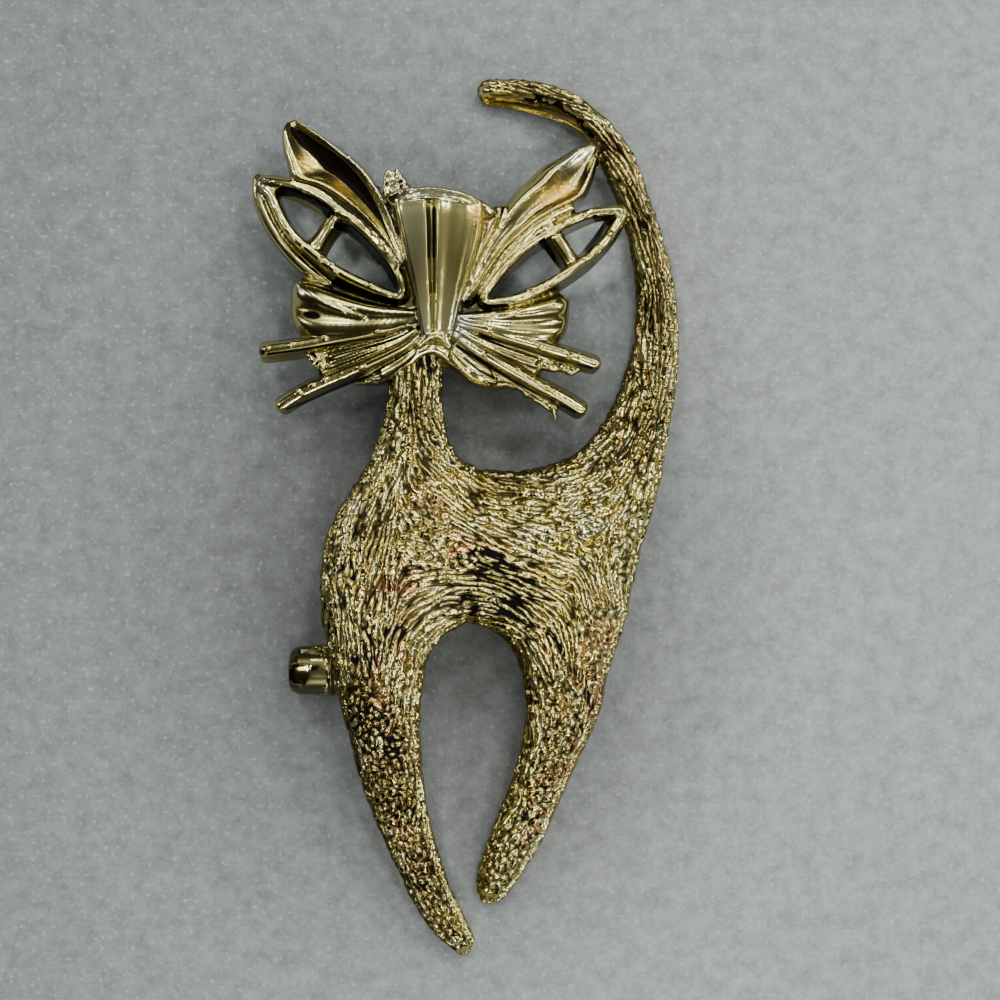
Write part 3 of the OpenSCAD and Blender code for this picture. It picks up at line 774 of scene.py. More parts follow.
def body_texture():
    """What makes the body's texture, over a grid: hair is 0 in the grooves."""
    sizes = bpy.context.scene.brooch_sizes
    gx, gy = np.meshgrid(GRID_AT[0] + CELL * np.arange(GRID[1]), GRID_AT[1] + CELL * np.arange(GRID[0]))
    dx, dy = flow(STROKES, gx, gy)
    reach = CAM_H - BODY_LEVEL
    px, py = 500 + (gx - CAM_AT[0]) * CAM_F / reach, 500 - (gy - CAM_AT[1]) * CAM_F / reach

    def share(spots):
        return patches(np.ravel(px), np.ravel(py), spots).reshape(gx.shape)

    ragged = 0.10 * pebbles(sizes.seed + 4, 5.0)
    beaded = smooth_step(0.25, 0.60, share(BEADED) + ragged)
    crackled = smooth_step(0.40, 0.55, share(CRACKLE) + ragged)
    long_hair = combed(sizes.seed, dx, dy, 2.6, 26)
    short_hair = combed(sizes.seed + 1, dx, dy, 2.3, 6)
    inside, facet, tint = nuggets(sizes.seed + 3, 10, 1.5, dx, dy)
    hair = (long_hair * (1 - crackled) + short_hair * crackled) * (1 - beaded) + 1.5 * inside ** 1.2 * beaded
    bead = 0.5 + 0.5 * np.tanh(1.5 * pebbles(sizes.seed + 2, 2.4)) * (1 - 0.6 * beaded)
    return {"hair": hair, "facet": facet, "tint": tint, "bead": bead}


def smooth_step(low, high, x):
    t = np.clip((x - low) / (high - low), 0, 1)
    return t * t * (3 - 2 * t)


def line_distance(px, py, line):
    """Distance from a polyline, positive on its right as it runs across the picture."""
    best = np.full(len(px), 1e9)
    side = np.zeros(len(px))
    for (ax, ay), (bx, by) in zip(line, line[1:]):
        ux, uy = bx - ax, by - ay
        t = np.clip(((px - ax) * ux + (py - ay) * uy) / (ux * ux + uy * uy), 0, 1)
        qx, qy = px - ax - t * ux, py - ay - t * uy
        d = np.hypot(qx, qy)
        near = d < best
        best = np.where(near, d, best)
        side = np.where(near, np.sign(ux * qy - uy * qx), side)
    return best * side


class BROOCH_OT_body(bpy.types.Operator):
    """Casts the body with its brushed hair, its legs and its tail, and the findings behind it"""
    bl_idname = "brooch.body"
    bl_label = "Cast body"

    def run_neck_on(self, mesh):
        """Takes away what the cut left loose, and lets the neck run on under the chin."""
        bm = bmesh.new()
        bm.from_mesh(mesh)
        joined, ends = set(), [min(bm.verts, key=lambda v: v.co.y)]
        while ends:
            v = ends.pop()
            if v not in joined:
                joined.add(v)
                ends += [e.other_vert(v) for e in v.link_edges]
        bmesh.ops.delete(bm, geom=[v for v in bm.verts if v not in joined], context="VERTS")
        left, cut, right = at(382, NECK_CUT, 5.0).x, at(420, NECK_CUT, HEAD_CUT_LEVEL).y, at(454, NECK_CUT, 5.0).x
        end = []
        for face in bm.faces:
            middle = face.calc_center_median()
            if face.normal.y > 0.95 and abs(middle.y - cut) < 0.02 and left < middle.x < right:
                end.append(face)
        made = bmesh.ops.extrude_face_region(bm, geom=end)["geom"]
        bmesh.ops.translate(bm, vec=NECK_RUN, verts=points(made))
        bm.to_mesh(mesh)
        bm.free()

    def without_head(self):
        """The solid model without its head, in millimetres."""
        bm = bmesh.new()
        bm.from_mesh(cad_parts["cat_casting"].data)
        bmesh.ops.remove_doubles(bm, verts=bm.verts[:], dist=1e-8)
        bmesh.ops.scale(bm, vec=(1000, 1000, 1000), verts=bm.verts[:])
        obj = new_object("cast_body", bm)
        cutter = block(HEAD_CUT, HEAD_CUT_LEVEL, -2, 14)
        outward(cutter)
        away = obj.modifiers.new("Head", "BOOLEAN")
        cut = new_object("head_cut", cutter)
        away.operation = "DIFFERENCE"
        away.object = cut
        away.solver = "EXACT"
        applied(obj)
        remove(cut)
        self.run_neck_on(obj.data)
        return obj

    def execute(self, context):
        sizes = context.scene.brooch_sizes
        obj = self.without_head()
        fuse(obj, sizes.voxel, 8)
        # The back can be coarse, because no texture is on it.
        mesh = coarsen(obj, BACK, BODY_BACK_KEEP)
        co, no = coordinates(mesh), directions(mesh)
        px, py = pixel_of(co)
        field = {key: sampled(values, *on_grid(co)) for key, values in body_texture().items()}
        bead = field["bead"]

        # The steep sides have level lines instead, because the texture would be stretched there.
        steep = smooth_step(0.70, 0.25, no[:, 2])
        hair = field["hair"] * (1 - steep) + 1.3 * steep * np.sin(co[:, 2] * 10.0 + 2.5 * bead)
        relief = np.clip(np.abs(hair) ** HAIR_POWER / 1.1, 0, 1)
        relief = np.clip(relief * (0.80 + 0.35 * bead) + 0.42 * field["facet"] * (1 - steep), 0, 1.15)

        # The catch's root, the tips of the feet and of the tail, and the inside of the tail's end stay smooth.
        worked = smooth_step(-0.45, 0.0, no[:, 2])
        worked = np.where((patches(px, py, CATCH_ROOT) > 0.30) & (px < 338), 0.0, worked)
        ridge = line_distance(px, py, TAIL_RIDGE)
        on_tail = (py < 150) & (px > 470) & (px < 612)
        inner = np.where(on_tail, smooth_step(3.0, 6.0, ridge) * smooth_step(606, 590, px), 0)
        worked = worked * (1 - 0.95 * inner) * (1 - patches(px, py, TIPS))

        # The end of the tail drops steeply behind its ridge, with a band of painted black shade along the foot of the
        # drop.
        ends = smooth_step(478, 488, px) * smooth_step(610, 590, px)
        drop = np.where(on_tail, smooth_step(2.0, 6.5, ridge) * ends, 0)
        band = np.exp(-((ridge - 6.5 - 3.0 * (bead - 0.5)) / 2.4) ** 2)
        band = np.where(on_tail, band * smooth_step(516, 530, px) * smooth_step(600, 588, px), 0)

        co += no * ((relief - RELIEF_LEVEL) * sizes.texture_depth * worked)[:, None]
        co[:, 2] -= TAIL_STEP * drop * smooth_step(0.1, 0.5, no[:, 2])
        co = place_in_box(mesh, co)
        front = no[:, 2] > 0
        # Painted shade for the side mark: steep sides are darker, the more so the further they face left, and listed
        # spots darken the tail, the neck, the legs and the chest.
        painted_dimming = np.maximum(steep * (0.75 - 0.35 * no[:, 0]), patches(px, py, PAINTED_SHADE_SPOTS))
        for key, values in {
                "hair": hair * (1 - band), "worked": np.maximum(worked, band), "bead": bead, "tint": field["tint"],
                "side": np.clip(painted_dimming, 0, 1) * (no[:, 2] > -0.5),
                # The tarnish mark holds black tarnish and painted shade: the shadow under the lip, broad dark spots
                # and the band along the tail's drop.
                "tarnish": np.maximum(patches(px, py, TARNISH_AND_SHADE) * worked, 1.3 * band),
                "rose": patches(px, py, ROSE) * front, "grey": patches(px, py, GREY) * front}.items():
            mark(mesh, key, values)
        middle = Vector((0, float(np.median(co[:, 1])), 0))
        metal = material_named("Cast gold", cast_finish)
        settle_halves(obj, ("cast_forebody", "cast_hindbody"), middle, (0, 1, 0), metal)
        return {"FINISHED"}


# The head's pieces. Places are pixels of the photograph, heights are in millimetres.
WORN = [
    (415, 235, 16, 60, 0, 0.45), (430, 194, 44, 9, 0, 0.6), (397, 182, 20, 16, 0, 0.5),
    (462, 325, 16, 24, 0, 1), (425, 320, 12, 24, 0, 0.5), (470, 350, 26, 12, 30, 0.5),
    (575, 157, 26, 8, -30, 0.7), (345, 150, 46, 7, 40, 0.9), (388, 212, 34, 6, 62, 0.8),
    (300, 290, 12, 8, 0, 0.6), (262, 190, 8, 20, 0, 0.5)]
# Black places of the head, painted for dark reflections and shade: lines of pixels, with a half width, a strength and
# whether they are level. They follow the walls inside the eyes, the wall under the lower left rim, the creases above
# the cheeks, the undersides of the whiskers, the groove of the forehead and the pocket in the left cheek.
DARK_LINES = [
    (5, 1, False, [(282, 191), (296, 192), (311, 197), (325, 206), (330, 214)]),
    (4.5, 1, False, [(338, 226), (350, 229), (362, 240), (374, 253), (386, 268), (393, 280), (392, 287)]),
    (4.5, 0.9, False, [(302, 258), (316, 270), (333, 280), (352, 289), (372, 297), (392, 302), (408, 304)]),
    (3, 0.9, False, [(464, 302), (478, 304), (492, 307), (506, 306)]),
    (4, 1, False, [(539, 236), (545, 246), (552, 258), (550, 266)]),
    (3, 0.9, False, [(595, 217), (602, 224), (598, 236), (588, 250)]),
    (3.5, 0.9, False, [(312, 355), (320, 364), (322, 374)]),
    (2.4, 0.85, True, [(434, 209), (434, 232), (434, 256)]),
    (4, 0.65, False, [(432, 208), (434, 240), (434, 290)]),
    (1.6, 0.9, True, [(457, 346), (487, 365), (518, 384), (545, 397), (575, 412)]),
    (1.5, 0.9, True, [(481, 336), (516, 346), (545, 355), (575, 364), (592, 368)]),
    (1.5, 0.9, True, [(268, 354), (297, 350), (328, 345), (361, 340), (385, 336)]),
    (1.5, 0.85, True, [(287, 409), (313, 399), (338, 387), (372, 375)]),
    (1.2, 0.9, True, [(464, 358), (480, 371), (494, 379), (489, 367)]),
    (1.2, 0.8, True, [(408, 371), (420, 359), (432, 355), (443, 359), (455, 370)])]
# Painted black shade in the pocket of the left cheek and at the end of the left upper whisker.
BLACK = [(312, 315, 14, 6.5, 7, 0.9), (262, 352, 5, 5, 0, 0.8)]
# The painted black reflection on the upper side of the left ear's dish lies between these two lines.
DISH_TOP = [
    (296, 128), (306, 133), (320, 143), (333, 151), (346, 162), (357, 173), (367, 186), (376, 202), (383, 217),
    (389, 234)]
DISH_EDGE = [
    (294, 138), (300, 146), (308, 152), (316, 160), (324, 170), (335, 176), (345, 184), (353, 192), (359, 198),
    (369, 209), (381, 223), (389, 239)]
ROUGH = [
    (398, 180, 15, 12, 0, 0.8), (320, 362, 10, 12, 0, 0.9), (562, 368, 24, 7, 10, 0.8),
    (375, 383, 22, 4, 0, 0.5), (342, 226, 14, 8, 40, 0.7), (312, 203, 16, 6, 30, 0.6),
    (372, 258, 22, 7, 50, 0.5), (425, 192, 32, 6, 0, 0.25), (520, 392, 40, 6, 25, 0.5)]
# Painted shade on the head: the ear dishes, the forehead, the temple, the cheeks, the plates and the lip.
SHADE = [
    (556, 180, 46, 13, -36, 0.9), (510, 225, 40, 8, -50, 0.6), (368, 216, 28, 9, 45, 0.85),
    (330, 182, 24, 4, 38, 0.4), (304, 150, 12, 24, -15, 0.55), (398, 180, 14, 12, 0, 0.4),
    (413, 265, 18, 60, 4, 0.6), (458, 265, 22, 70, -4, 0.65), (432, 192, 50, 12, 2, 0.35),
    (538, 322, 15, 4, -8, 0.8), (490, 240, 14, 50, 22, 0.95), (512, 362, 40, 8, 25, 0.7),
    (520, 318, 34, 5, -3, 0.5), (330, 300, 30, 5, 16, 0.3), (330, 335, 50, 4, -6, 0.4),
    (430, 357, 12, 6, 0, 0.6), (505, 386, 36, 6, 24, 0.5)]
# Painted amber glints on the ear dishes and in the pocket beside the forehead.
SPARKLE = [
    (307, 165, 13, 11, 0, 0.8), (340, 188, 13, 8, 30, 0.9), (560, 195, 23, 11, -15, 1),
    (477, 216, 8, 12, 0, 0.7)]


# Crests with small beads of metal on them, besides the rims of the eyes. Those of the ears come first.
CRESTS = [
    [(590, 147), (565, 160), (548, 170), (531, 189), (514, 206), (499, 225), (485, 250), (472, 276), (461, 301)],
    [(300, 122), (333, 142), (359, 163), (385, 201), (401, 253)],
    [(300, 288), (316, 298), (336, 306), (360, 316)], [(488, 315), (520, 311), (554, 306)],
    [(270, 349), (335, 338), (405, 323)], [(300, 392), (345, 372), (408, 343)],
    [(582, 358), (530, 341), (485, 329)], [(566, 398), (520, 373), (482, 352)]]


def mark_head(mesh):
    """Sets the worn places of the head, its painted amber glints, its painted black reflections and shade, and its
    painted shade.
    """
    co, no = coordinates(mesh), directions(mesh)
    px, py = pixel_of(co)
    mark(mesh, "worn", patches(px, py, WORN))
    mark(mesh, "sparkle", patches(px, py, SPARKLE) * (no[:, 2] > 0.1))
    # Painted black for the dark reflections on walls and in the left ear's dish, and for the shade in creases and
    # pockets.
    dark = np.zeros(len(px))
    tilted = smooth_step(0.97, 0.90, no[:, 2])
    for half, strength, level, line in DARK_LINES:
        near = smooth_step(half + 2.0, half - 1.6, np.abs(line_distance(px, py, line)))
        dark = np.maximum(dark, strength * near * (1.0 if level else tilted))
    dish = smooth_step(-0.5, 1.0, line_distance(px, py, DISH_TOP))
    dish *= smooth_step(0.6, -0.6, line_distance(px, py, DISH_EDGE))
    dish *= (px > 290) & (px < 392) & (py > 126) & (py < 240) & (no[:, 2] > 0.2)
    dark = np.maximum(dark, smooth_step(0.15, 0.85, patches(px, py, BLACK)))
    mark(mesh, "dirt", np.clip(np.maximum(dark, dish), 0, 1))
    # Painted shade for the shade mark: on steep walls, in recesses (stronger right of the nose than left of it), and
    # in listed spots away from the ear rims.
    ears = np.min([np.abs(line_distance(px, py, line)) for line in CRESTS[:2]], axis=0)
    walls = 0.75 * smooth_step(0.50, 0.15, no[:, 2])
    deep = np.where(px > 434, 0.5, 0.12) * smooth_step(0.08, 0.45, recess(co, 3.0))
    mark(mesh, "shade", np.maximum.reduce([deep, walls, smooth_step(2.5, 6.5, ears) * patches(px, py, SHADE)]))


FOREHEAD_ROWS = [
    (392, 194, 486, 200, 7.7), (393, 208, 485, 212, 7.98), (398, 230, 481, 235, 8), (404, 256, 474, 260, 7.95),
    (411, 284, 466, 286, 7.85), (416, 312, 459, 312, 7.75), (421, 335, 453, 336, 7.6), (425, 344, 447, 345, 7.2)]
FOREHEAD_TOP = [
    (0, -1.4), (0.01, -0.5), (0.03, -0.16), (0.065, -0.02), (0.09, 0), (0.16, -0.01), (0.24, -0.02),
    (0.33, -0.03), (0.37, -0.05), (0.39, -0.4), (0.42, -0.62), (0.45, -0.6), (0.475, -0.25), (0.49, 0),
    (0.51, 0.04), (0.54, 0.03), (0.58, -0.01), (0.61, -0.05), (0.68, -0.06), (0.76, -0.03), (0.79, -0.02),
    (0.83, -0.04), (0.88, -0.1), (0.91, -0.1), (0.935, 0), (0.955, -0.05), (0.98, -0.4), (1, -1.4)]
FOREHEAD_END = [
    (0, -1.4), (0.02, -0.45), (0.05, -0.1), (0.09, 0), (0.12, 0), (0.16, -0.01), (0.2, -0.02), (0.25, -0.03),
    (0.28, -0.06), (0.31, -0.22), (0.34, -0.3), (0.37, -0.28), (0.4, -0.1), (0.43, 0.02), (0.47, 0.04),
    (0.52, 0.02), (0.57, -0.02), (0.61, -0.04), (0.68, -0.04), (0.76, -0.01), (0.8, 0), (0.84, -0.03),
    (0.88, -0.07), (0.91, -0.07), (0.94, -0.03), (0.96, -0.12), (0.98, -0.5), (1, -1.4)]
# The pale ledge behind the forehead, from its back edge to its front edge.
LEDGE_ROWS = [
    (384, 198, 393, 207, 7.4), (390, 191, 398, 204, 7.8), (402, 187, 408, 201, 8), (418, 185, 419, 199, 8.1),
    (436, 185, 436, 199, 8.1), (454, 188, 453, 201, 8.05), (472, 194, 468, 205, 7.95),
    (486, 202, 480, 211, 7.7), (498, 211, 488, 219, 7.2)]
LEDGE = [
    (0, -1.2), (0.05, -0.42), (0.12, -0.12), (0.2, -0.01), (0.3, 0), (0.45, -0.05), (0.62, -0.06),
    (0.74, -0.02), (0.83, 0), (0.9, -0.04), (0.96, -0.14), (1, -0.4)]
# The hollow between the forehead and the right ear.
TEMPLE_ROWS = [
    (488, 206, 509, 204, 6.2), (486, 215, 505, 218, 6.45), (483, 232, 494, 236, 6.5), (478, 250, 484, 255, 6.6),
    (470, 272, 475, 277, 6.65), (462, 296, 466, 299, 6.7)]
TEMPLE = [(0.0, -0.6), (0.1, -0.1), (0.3, -0.18), (0.5, -0.30), (0.7, -0.30), (0.9, -0.12), (1.0, -0.6)]


class BROOCH_OT_forehead(bpy.types.Operator):
    """Casts the fluted forehead that runs down to the nose, with the rim behind it"""
    bl_idname = "brooch.forehead"
    bl_label = "Forehead"

    def execute(self, context):
        cast(
            "forehead", strip, FOREHEAD_ROWS, FOREHEAD_TOP, FOREHEAD_END,
            fine=2, spread=(0.1, 0.1), full=0.1, bow=0.5)
        behind = {"steps": 5, "fine": 3, "foot": 4.5}
        cast("forehead_ledge", strip, LEDGE_ROWS, LEDGE, LEDGE, spread=(0.25, 0.1), full=0.8, **behind)
        cast("temple", strip, TEMPLE_ROWS, TEMPLE, TEMPLE, spread=(0.1, 0.1), full=1.2, **behind)
        return {"FINISHED"}


LEFT_EAR_TIP = [
    (0, -1.1), (0.015, -0.4), (0.04, -0.06), (0.07, 0), (0.1, -0.06), (0.15, -0.22), (0.25, -0.4),
    (0.36, -0.54), (0.43, -0.59), (0.47, -0.57), (0.58, -0.44), (0.69, -0.27), (0.76, -0.13), (0.81, -0.03),
    (0.86, 0), (0.92, -0.01), (0.965, -0.08), (0.985, -0.4), (1, -1)]
LEFT_EAR_ROOT = [
    (0, -1.1), (0.02, -0.45), (0.05, -0.08), (0.09, 0), (0.13, -0.06), (0.2, -0.24), (0.32, -0.48),
    (0.45, -0.63), (0.54, -0.65), (0.6, -0.61), (0.7, -0.44), (0.78, -0.26), (0.85, -0.09), (0.9, 0), (0.94, 0),
    (0.965, -0.1), (0.985, -0.4), (1, -1)]
RIGHT_EAR_TIP = [
    (0, -1.2), (0.03, -0.8), (0.09, -0.4), (0.15, -0.12), (0.2, -0.01), (0.25, 0), (0.3, -0.02), (0.35, -0.1),
    (0.45, -0.24), (0.58, -0.38), (0.68, -0.44), (0.75, -0.4), (0.83, -0.26), (0.89, -0.12), (0.93, -0.02),
    (0.96, -0.02), (0.985, -0.35), (1, -1)]
RIGHT_EAR_ROOT = [
    (0, -1.2), (0.04, -0.8), (0.12, -0.4), (0.2, -0.1), (0.26, 0), (0.34, -0.01), (0.4, -0.1), (0.48, -0.22),
    (0.56, -0.32), (0.64, -0.36), (0.71, -0.33), (0.77, -0.26), (0.83, -0.15), (0.88, -0.04), (0.92, 0),
    (0.95, -0.05), (0.98, -0.35), (1, -1)]
LEFT_EAR_ROWS = [
    (294, 119, 286, 122, 4.7), (303, 123, 282, 131, 5.1), (318, 132, 283, 146, 5.35), (333, 142, 287, 162, 5.5),
    (347, 152, 293, 179, 5.7), (360, 163, 314, 185, 5.9), (370, 175, 333, 195, 6.1), (379, 189, 350, 207, 6.3),
    (386, 203, 365, 220, 6.45), (392, 219, 378, 233, 6.6), (398, 238, 390, 247, 6.8), (404, 262, 401, 265, 6.95)]
RIGHT_EAR_ROWS = [
    (590, 143, 598, 146, 4.7), (577, 146, 597, 158, 5.1), (560, 156, 594, 170, 5.4), (544, 164, 590, 183, 5.6),
    (531, 176, 582, 197, 5.8), (518, 188, 562, 207, 6), (506, 203, 543, 217, 6.2), (496, 219, 525, 231, 6.35),
    (485, 239, 507, 247, 6.55), (475, 261, 490, 269, 6.7), (466, 282, 476, 288, 6.85),
    (459, 300, 463, 304, 6.95)]


class BROOCH_OT_ears(bpy.types.Operator):
    """Casts the two dished ears with their bright rims"""
    bl_idname = "brooch.ears"
    bl_label = "Ears"

    def execute(self, context):
        options = {"steps": 7, "fine": 3, "spread": (0.25, 0.30), "full": 2.2}
        cast("left_ear", strip, LEFT_EAR_ROWS, LEFT_EAR_TIP, LEFT_EAR_ROOT, **options)
        cast("right_ear", strip, RIGHT_EAR_ROWS, RIGHT_EAR_TIP, RIGHT_EAR_ROOT, **options)
        return {"FINISHED"}


# The rims of the eyes run round their holes; the feet are to the left and to the right of the way.
LEFT_EYE_RIM = ended([
    (262, 182, 4.8, 0.42, 0.3, 0.3), (273, 182, 5, 0.42, 0.35, 0.4), (291, 185, 5.4, 0.42, 0.4, 0.55),
    (307, 190, 5.6, 0.42, 0.4, 0.7), (325, 200, 5.8, 0.42, 0.4, 0.65), (339, 211, 5.9, 0.42, 0.4, 0.65),
    (353, 221, 6.1, 0.4, 0.4, 0.6), (366, 232, 6.2, 0.38, 0.4, 0.55), (379, 246, 6.4, 0.36, 0.4, 0.5),
    (390, 260, 6.5, 0.34, 0.3, 0.4), (399, 276, 6.7, 0.32, 0.2, 0.45), (403, 289, 6.7, 0.32, 0.2, 0.25),
    (397, 296, 6.6, 0.34, 0.4, 0.12), (383, 292, 6.5, 0.35, 0.6, 0.1), (362, 283, 6.3, 0.36, 0.75, 0.08),
    (346, 275, 6.1, 0.36, 0.8, 0.08), (332, 267, 5.9, 0.36, 0.8, 0.08), (320, 258, 5.8, 0.36, 0.75, 0.08),
    (308, 248, 5.7, 0.36, 0.65, 0.08), (298, 240, 5.6, 0.36, 0.5, 0.08), (289, 230, 5.5, 0.36, 0.45, 0.08),
    (281, 217, 5.3, 0.36, 0.45, 0.1), (275, 204, 5.2, 0.36, 0.45, 0.15), (270, 193, 5, 0.38, 0.4, 0.2),
    (263, 187, 4.8, 0.4, 0.35, 0.3)], 3.4)
LEFT_EYE_SIDE = ended([
    (258, 178, 4.5, 0.44), (257, 190, 4.5, 0.44), (261, 205, 4.5, 0.44), (268, 221, 4.5, 0.44),
    (277, 236, 4.5, 0.44), (287, 249, 4.6, 0.44), (298, 261, 4.6, 0.44), (312, 273, 4.5, 0.42),
    (328, 284, 4.3, 0.36)], 0.1, 0.15, 3.3)
LEFT_EYE_BAR = ended([
    (345, 201, 5.9, 0.9, 0.3, 0.25), (338, 211, 5.75, 0.62, 0.4, 0.2), (332, 219, 5.6, 0.54, 0.5, 0.15),
    (324, 231, 5.5, 0.5, 0.5, 0.15), (317, 242, 5.55, 0.6, 0.4, 0.15), (310, 251, 5.65, 0.85, 0.3, 0.15)], 3.6)
RIGHT_EYE_RIM = [
    (622, 210, 4.8, 0.36, 0.1, 0.1, 3), (609, 210, 5.1, 0.36, 0.2, 0.15, 3.3),
    (590, 213, 5.5, 0.36, 0.3, 0.15, 3.4), (572, 220, 5.7, 0.36, 0.35, 0.15, 3.4),
    (556, 228, 5.9, 0.36, 0.35, 0.2, 3.4), (542, 236, 6, 0.36, 0.35, 0.25, 3.4),
    (530, 244, 6.1, 0.35, 0.35, 0.2, 3.4), (519, 253, 6.2, 0.34, 0.35, 0.2, 3.4),
    (508, 264, 6.4, 0.33, 0.3, 0.2, 3.4), (497, 277, 6.5, 0.32, 0.25, 0.2, 3.4),
    (488, 289, 6.7, 0.3, 0.2, 0.2, 3.4), (483, 298, 6.8, 0.28, 0.2, 0.2, 3.4),
    (489, 302, 6.7, 0.32, 0.15, 0.35, 3.4), (500, 301, 6.6, 0.34, 0.1, 0.45, 3.4),
    (513, 299, 6.5, 0.35, 0.1, 0.45, 3.4), (528, 294, 6.3, 0.36, 0.1, 0.45, 3.4),
    (542, 287, 6.2, 0.36, 0.1, 0.45, 3.4), (557, 279, 6, 0.36, 0.1, 0.45, 3.4),
    (572, 269, 5.9, 0.36, 0.2, 0.45, 3.4), (585, 260, 5.7, 0.36, 0.4, 0.4, 3.4),
    (597, 249, 5.5, 0.36, 0.6, 0.35, 3.4), (608, 237, 5.2, 0.36, 0.7, 0.3, 3.2),
    (616, 225, 4.9, 0.36, 0.65, 0.25, 3), (622, 215, 4.8, 0.36, 0.3, 0.2, 3)]
RIGHT_EYE_BAR = ended([
    (547, 224, 5.9, 0.8, 0.2, 0.45), (553, 232, 5.75, 0.58, 0.15, 0.6), (560, 242, 5.6, 0.54, 0.15, 0.65),
    (567, 253, 5.55, 0.54, 0.15, 0.6), (572, 261, 5.6, 0.62, 0.2, 0.4), (577, 268, 5.7, 0.85, 0.2, 0.3)], 3.5)
# Soft ridges between the eyes and the ears, and above the right eye.
CHEEK_RIDGE = ended([
    (299, 285, 5.35, 0.34), (308, 292, 5.8, 0.38), (318, 299, 6.05, 0.38), (332, 306, 6.25, 0.34),
    (348, 312, 6.4, 0.28), (364, 317, 6.5, 0.22)], 0.2, 0.2, 4.2)
BROWS = {
    "left_brow": ended([
        (292, 180, 5.3, 0.2, 0.3, 0.3), (314, 187, 5.55, 0.24, 0.3, 0.3), (333, 197, 5.8, 0.26, 0.3, 0.3),
        (348, 208, 5.98, 0.26, 0.3, 0.3), (362, 220, 6.12, 0.26, 0.3, 0.3), (375, 234, 6.3, 0.24, 0.3, 0.3),
        (387, 249, 6.5, 0.22, 0.3, 0.3), (398, 266, 6.75, 0.2, 0.2, 0.2)], 3.6),
    "right_brow": ended([
        (572, 208, 5.4, 0.24, 0.4, 0.4), (553, 217, 5.7, 0.28, 0.4, 0.4), (537, 228, 5.95, 0.3, 0.4, 0.4),
        (521, 241, 6.05, 0.3, 0.4, 0.4), (505, 255, 6.2, 0.28, 0.4, 0.4), (491, 271, 6.35, 0.26, 0.3, 0.3),
        (478, 288, 6.55, 0.24, 0.3, 0.3), (467, 301, 6.7, 0.2, 0.2, 0.2)], 3.6),
}


class BROOCH_OT_eyes(bpy.types.Operator):
    """Casts the pierced eye frames and the bars across them"""
    bl_idname = "brooch.eyes"
    bl_label = "Eye frames"

    def execute(self, context):
        for name, rim, bar in (("left_eye", LEFT_EYE_RIM, LEFT_EYE_BAR), ("right_eye", RIGHT_EYE_RIM, RIGHT_EYE_BAR)):
            cast(name, rod, rim, steps=6, closed=True, crown=0.85)
            cast(name + "_bar", rod, bar, steps=6, ends=("flat", "flat"), crown=0.9)
        cast("left_eye_side", rod, LEFT_EYE_SIDE, steps=6)
        for name, rows in BROWS.items():
            cast(name, rod, rows)
        return {"FINISHED"}


LEFT_CHEEK_ROWS = [
    (291, 290, 291, 318, 3.9), (292, 282, 293, 326, 4.75), (296, 277, 298, 333, 5.3),
    (304, 277, 306, 339, 5.65), (318, 282, 318, 342, 5.95), (336, 289, 336, 341, 6.2),
    (355, 296, 355, 339, 6.45), (376, 302, 376, 336, 6.75), (398, 306, 398, 331, 7), (419, 309, 419, 326, 7.3)]
CHEEK_END = [
    (0, -1.5), (0.03, -1), (0.07, -0.55), (0.13, -0.25), (0.21, -0.05), (0.29, 0), (0.37, -0.08), (0.44, -0.3),
    (0.51, -0.5), (0.57, -0.52), (0.63, -0.38), (0.69, -0.18), (0.74, -0.12), (0.8, -0.2), (0.87, -0.4),
    (0.94, -0.75), (1, -1.4)]
CHEEK_ROOT = [
    (0, -1.2), (0.04, -0.7), (0.09, -0.32), (0.15, -0.12), (0.22, -0.02), (0.28, 0), (0.35, -0.04),
    (0.42, -0.12), (0.49, -0.14), (0.56, -0.05), (0.62, 0), (0.68, -0.03), (0.74, -0.1), (0.8, -0.12),
    (0.87, -0.16), (0.94, -0.45), (1, -1.2)]
RIGHT_CHEEK_ROWS = [
    (570, 306, 568, 328, 3.9), (570, 298, 563, 337, 4.75), (566, 293, 556, 344, 5.3),
    (557, 292, 545, 347, 5.65), (544, 296, 532, 346, 5.95), (528, 300, 519, 344, 6.2),
    (510, 305, 503, 340, 6.5), (490, 309, 485, 334, 6.9), (470, 312, 467, 329, 7.2), (453, 313, 452, 325, 7.35)]


# The pleated plates between the whiskers and under them.
PLATES = {
    "left_plate": [
        (323, 352, 325, 374, 3.9), (328, 350, 330, 374, 4.5), (345, 346, 347, 367, 4.9),
        (365, 342, 368, 357, 5.4), (385, 337, 389, 349, 6), (402, 331, 405, 341, 6.6), (416, 324, 418, 333, 7.1)],
    "right_plate": [
        (546, 358, 540, 378, 3.9), (540, 354, 534, 378, 4.5), (522, 349, 516, 370, 5),
        (504, 344, 498, 360, 5.5), (486, 338, 481, 350, 6.1), (469, 331, 466, 340, 6.7),
        (456, 325, 454, 331, 7.2)],
    "left_chin": [
        (346, 380, 352, 384, 3.9), (362, 373, 366, 385, 4.8), (378, 365, 380, 384, 5.3),
        (394, 356, 395, 378, 5.9), (408, 346, 408, 366, 6.5), (418, 338, 419, 352, 7)],
    "right_chin": [
        (552, 402, 553, 414, 3.7), (535, 390, 533, 401, 4.3), (516, 378, 514, 389, 4.8),
        (497, 368, 494, 389, 5.3), (479, 357, 474, 385, 5.8), (465, 347, 461, 374, 6.4), (452, 338, 449, 358, 7)],
}
PLEATS = [
    (0, -0.8), (0.06, -0.32), (0.18, -0.08), (0.3, 0), (0.42, -0.12), (0.5, -0.18), (0.58, -0.12), (0.7, 0),
    (0.82, -0.08), (0.94, -0.35), (1, -0.8)]


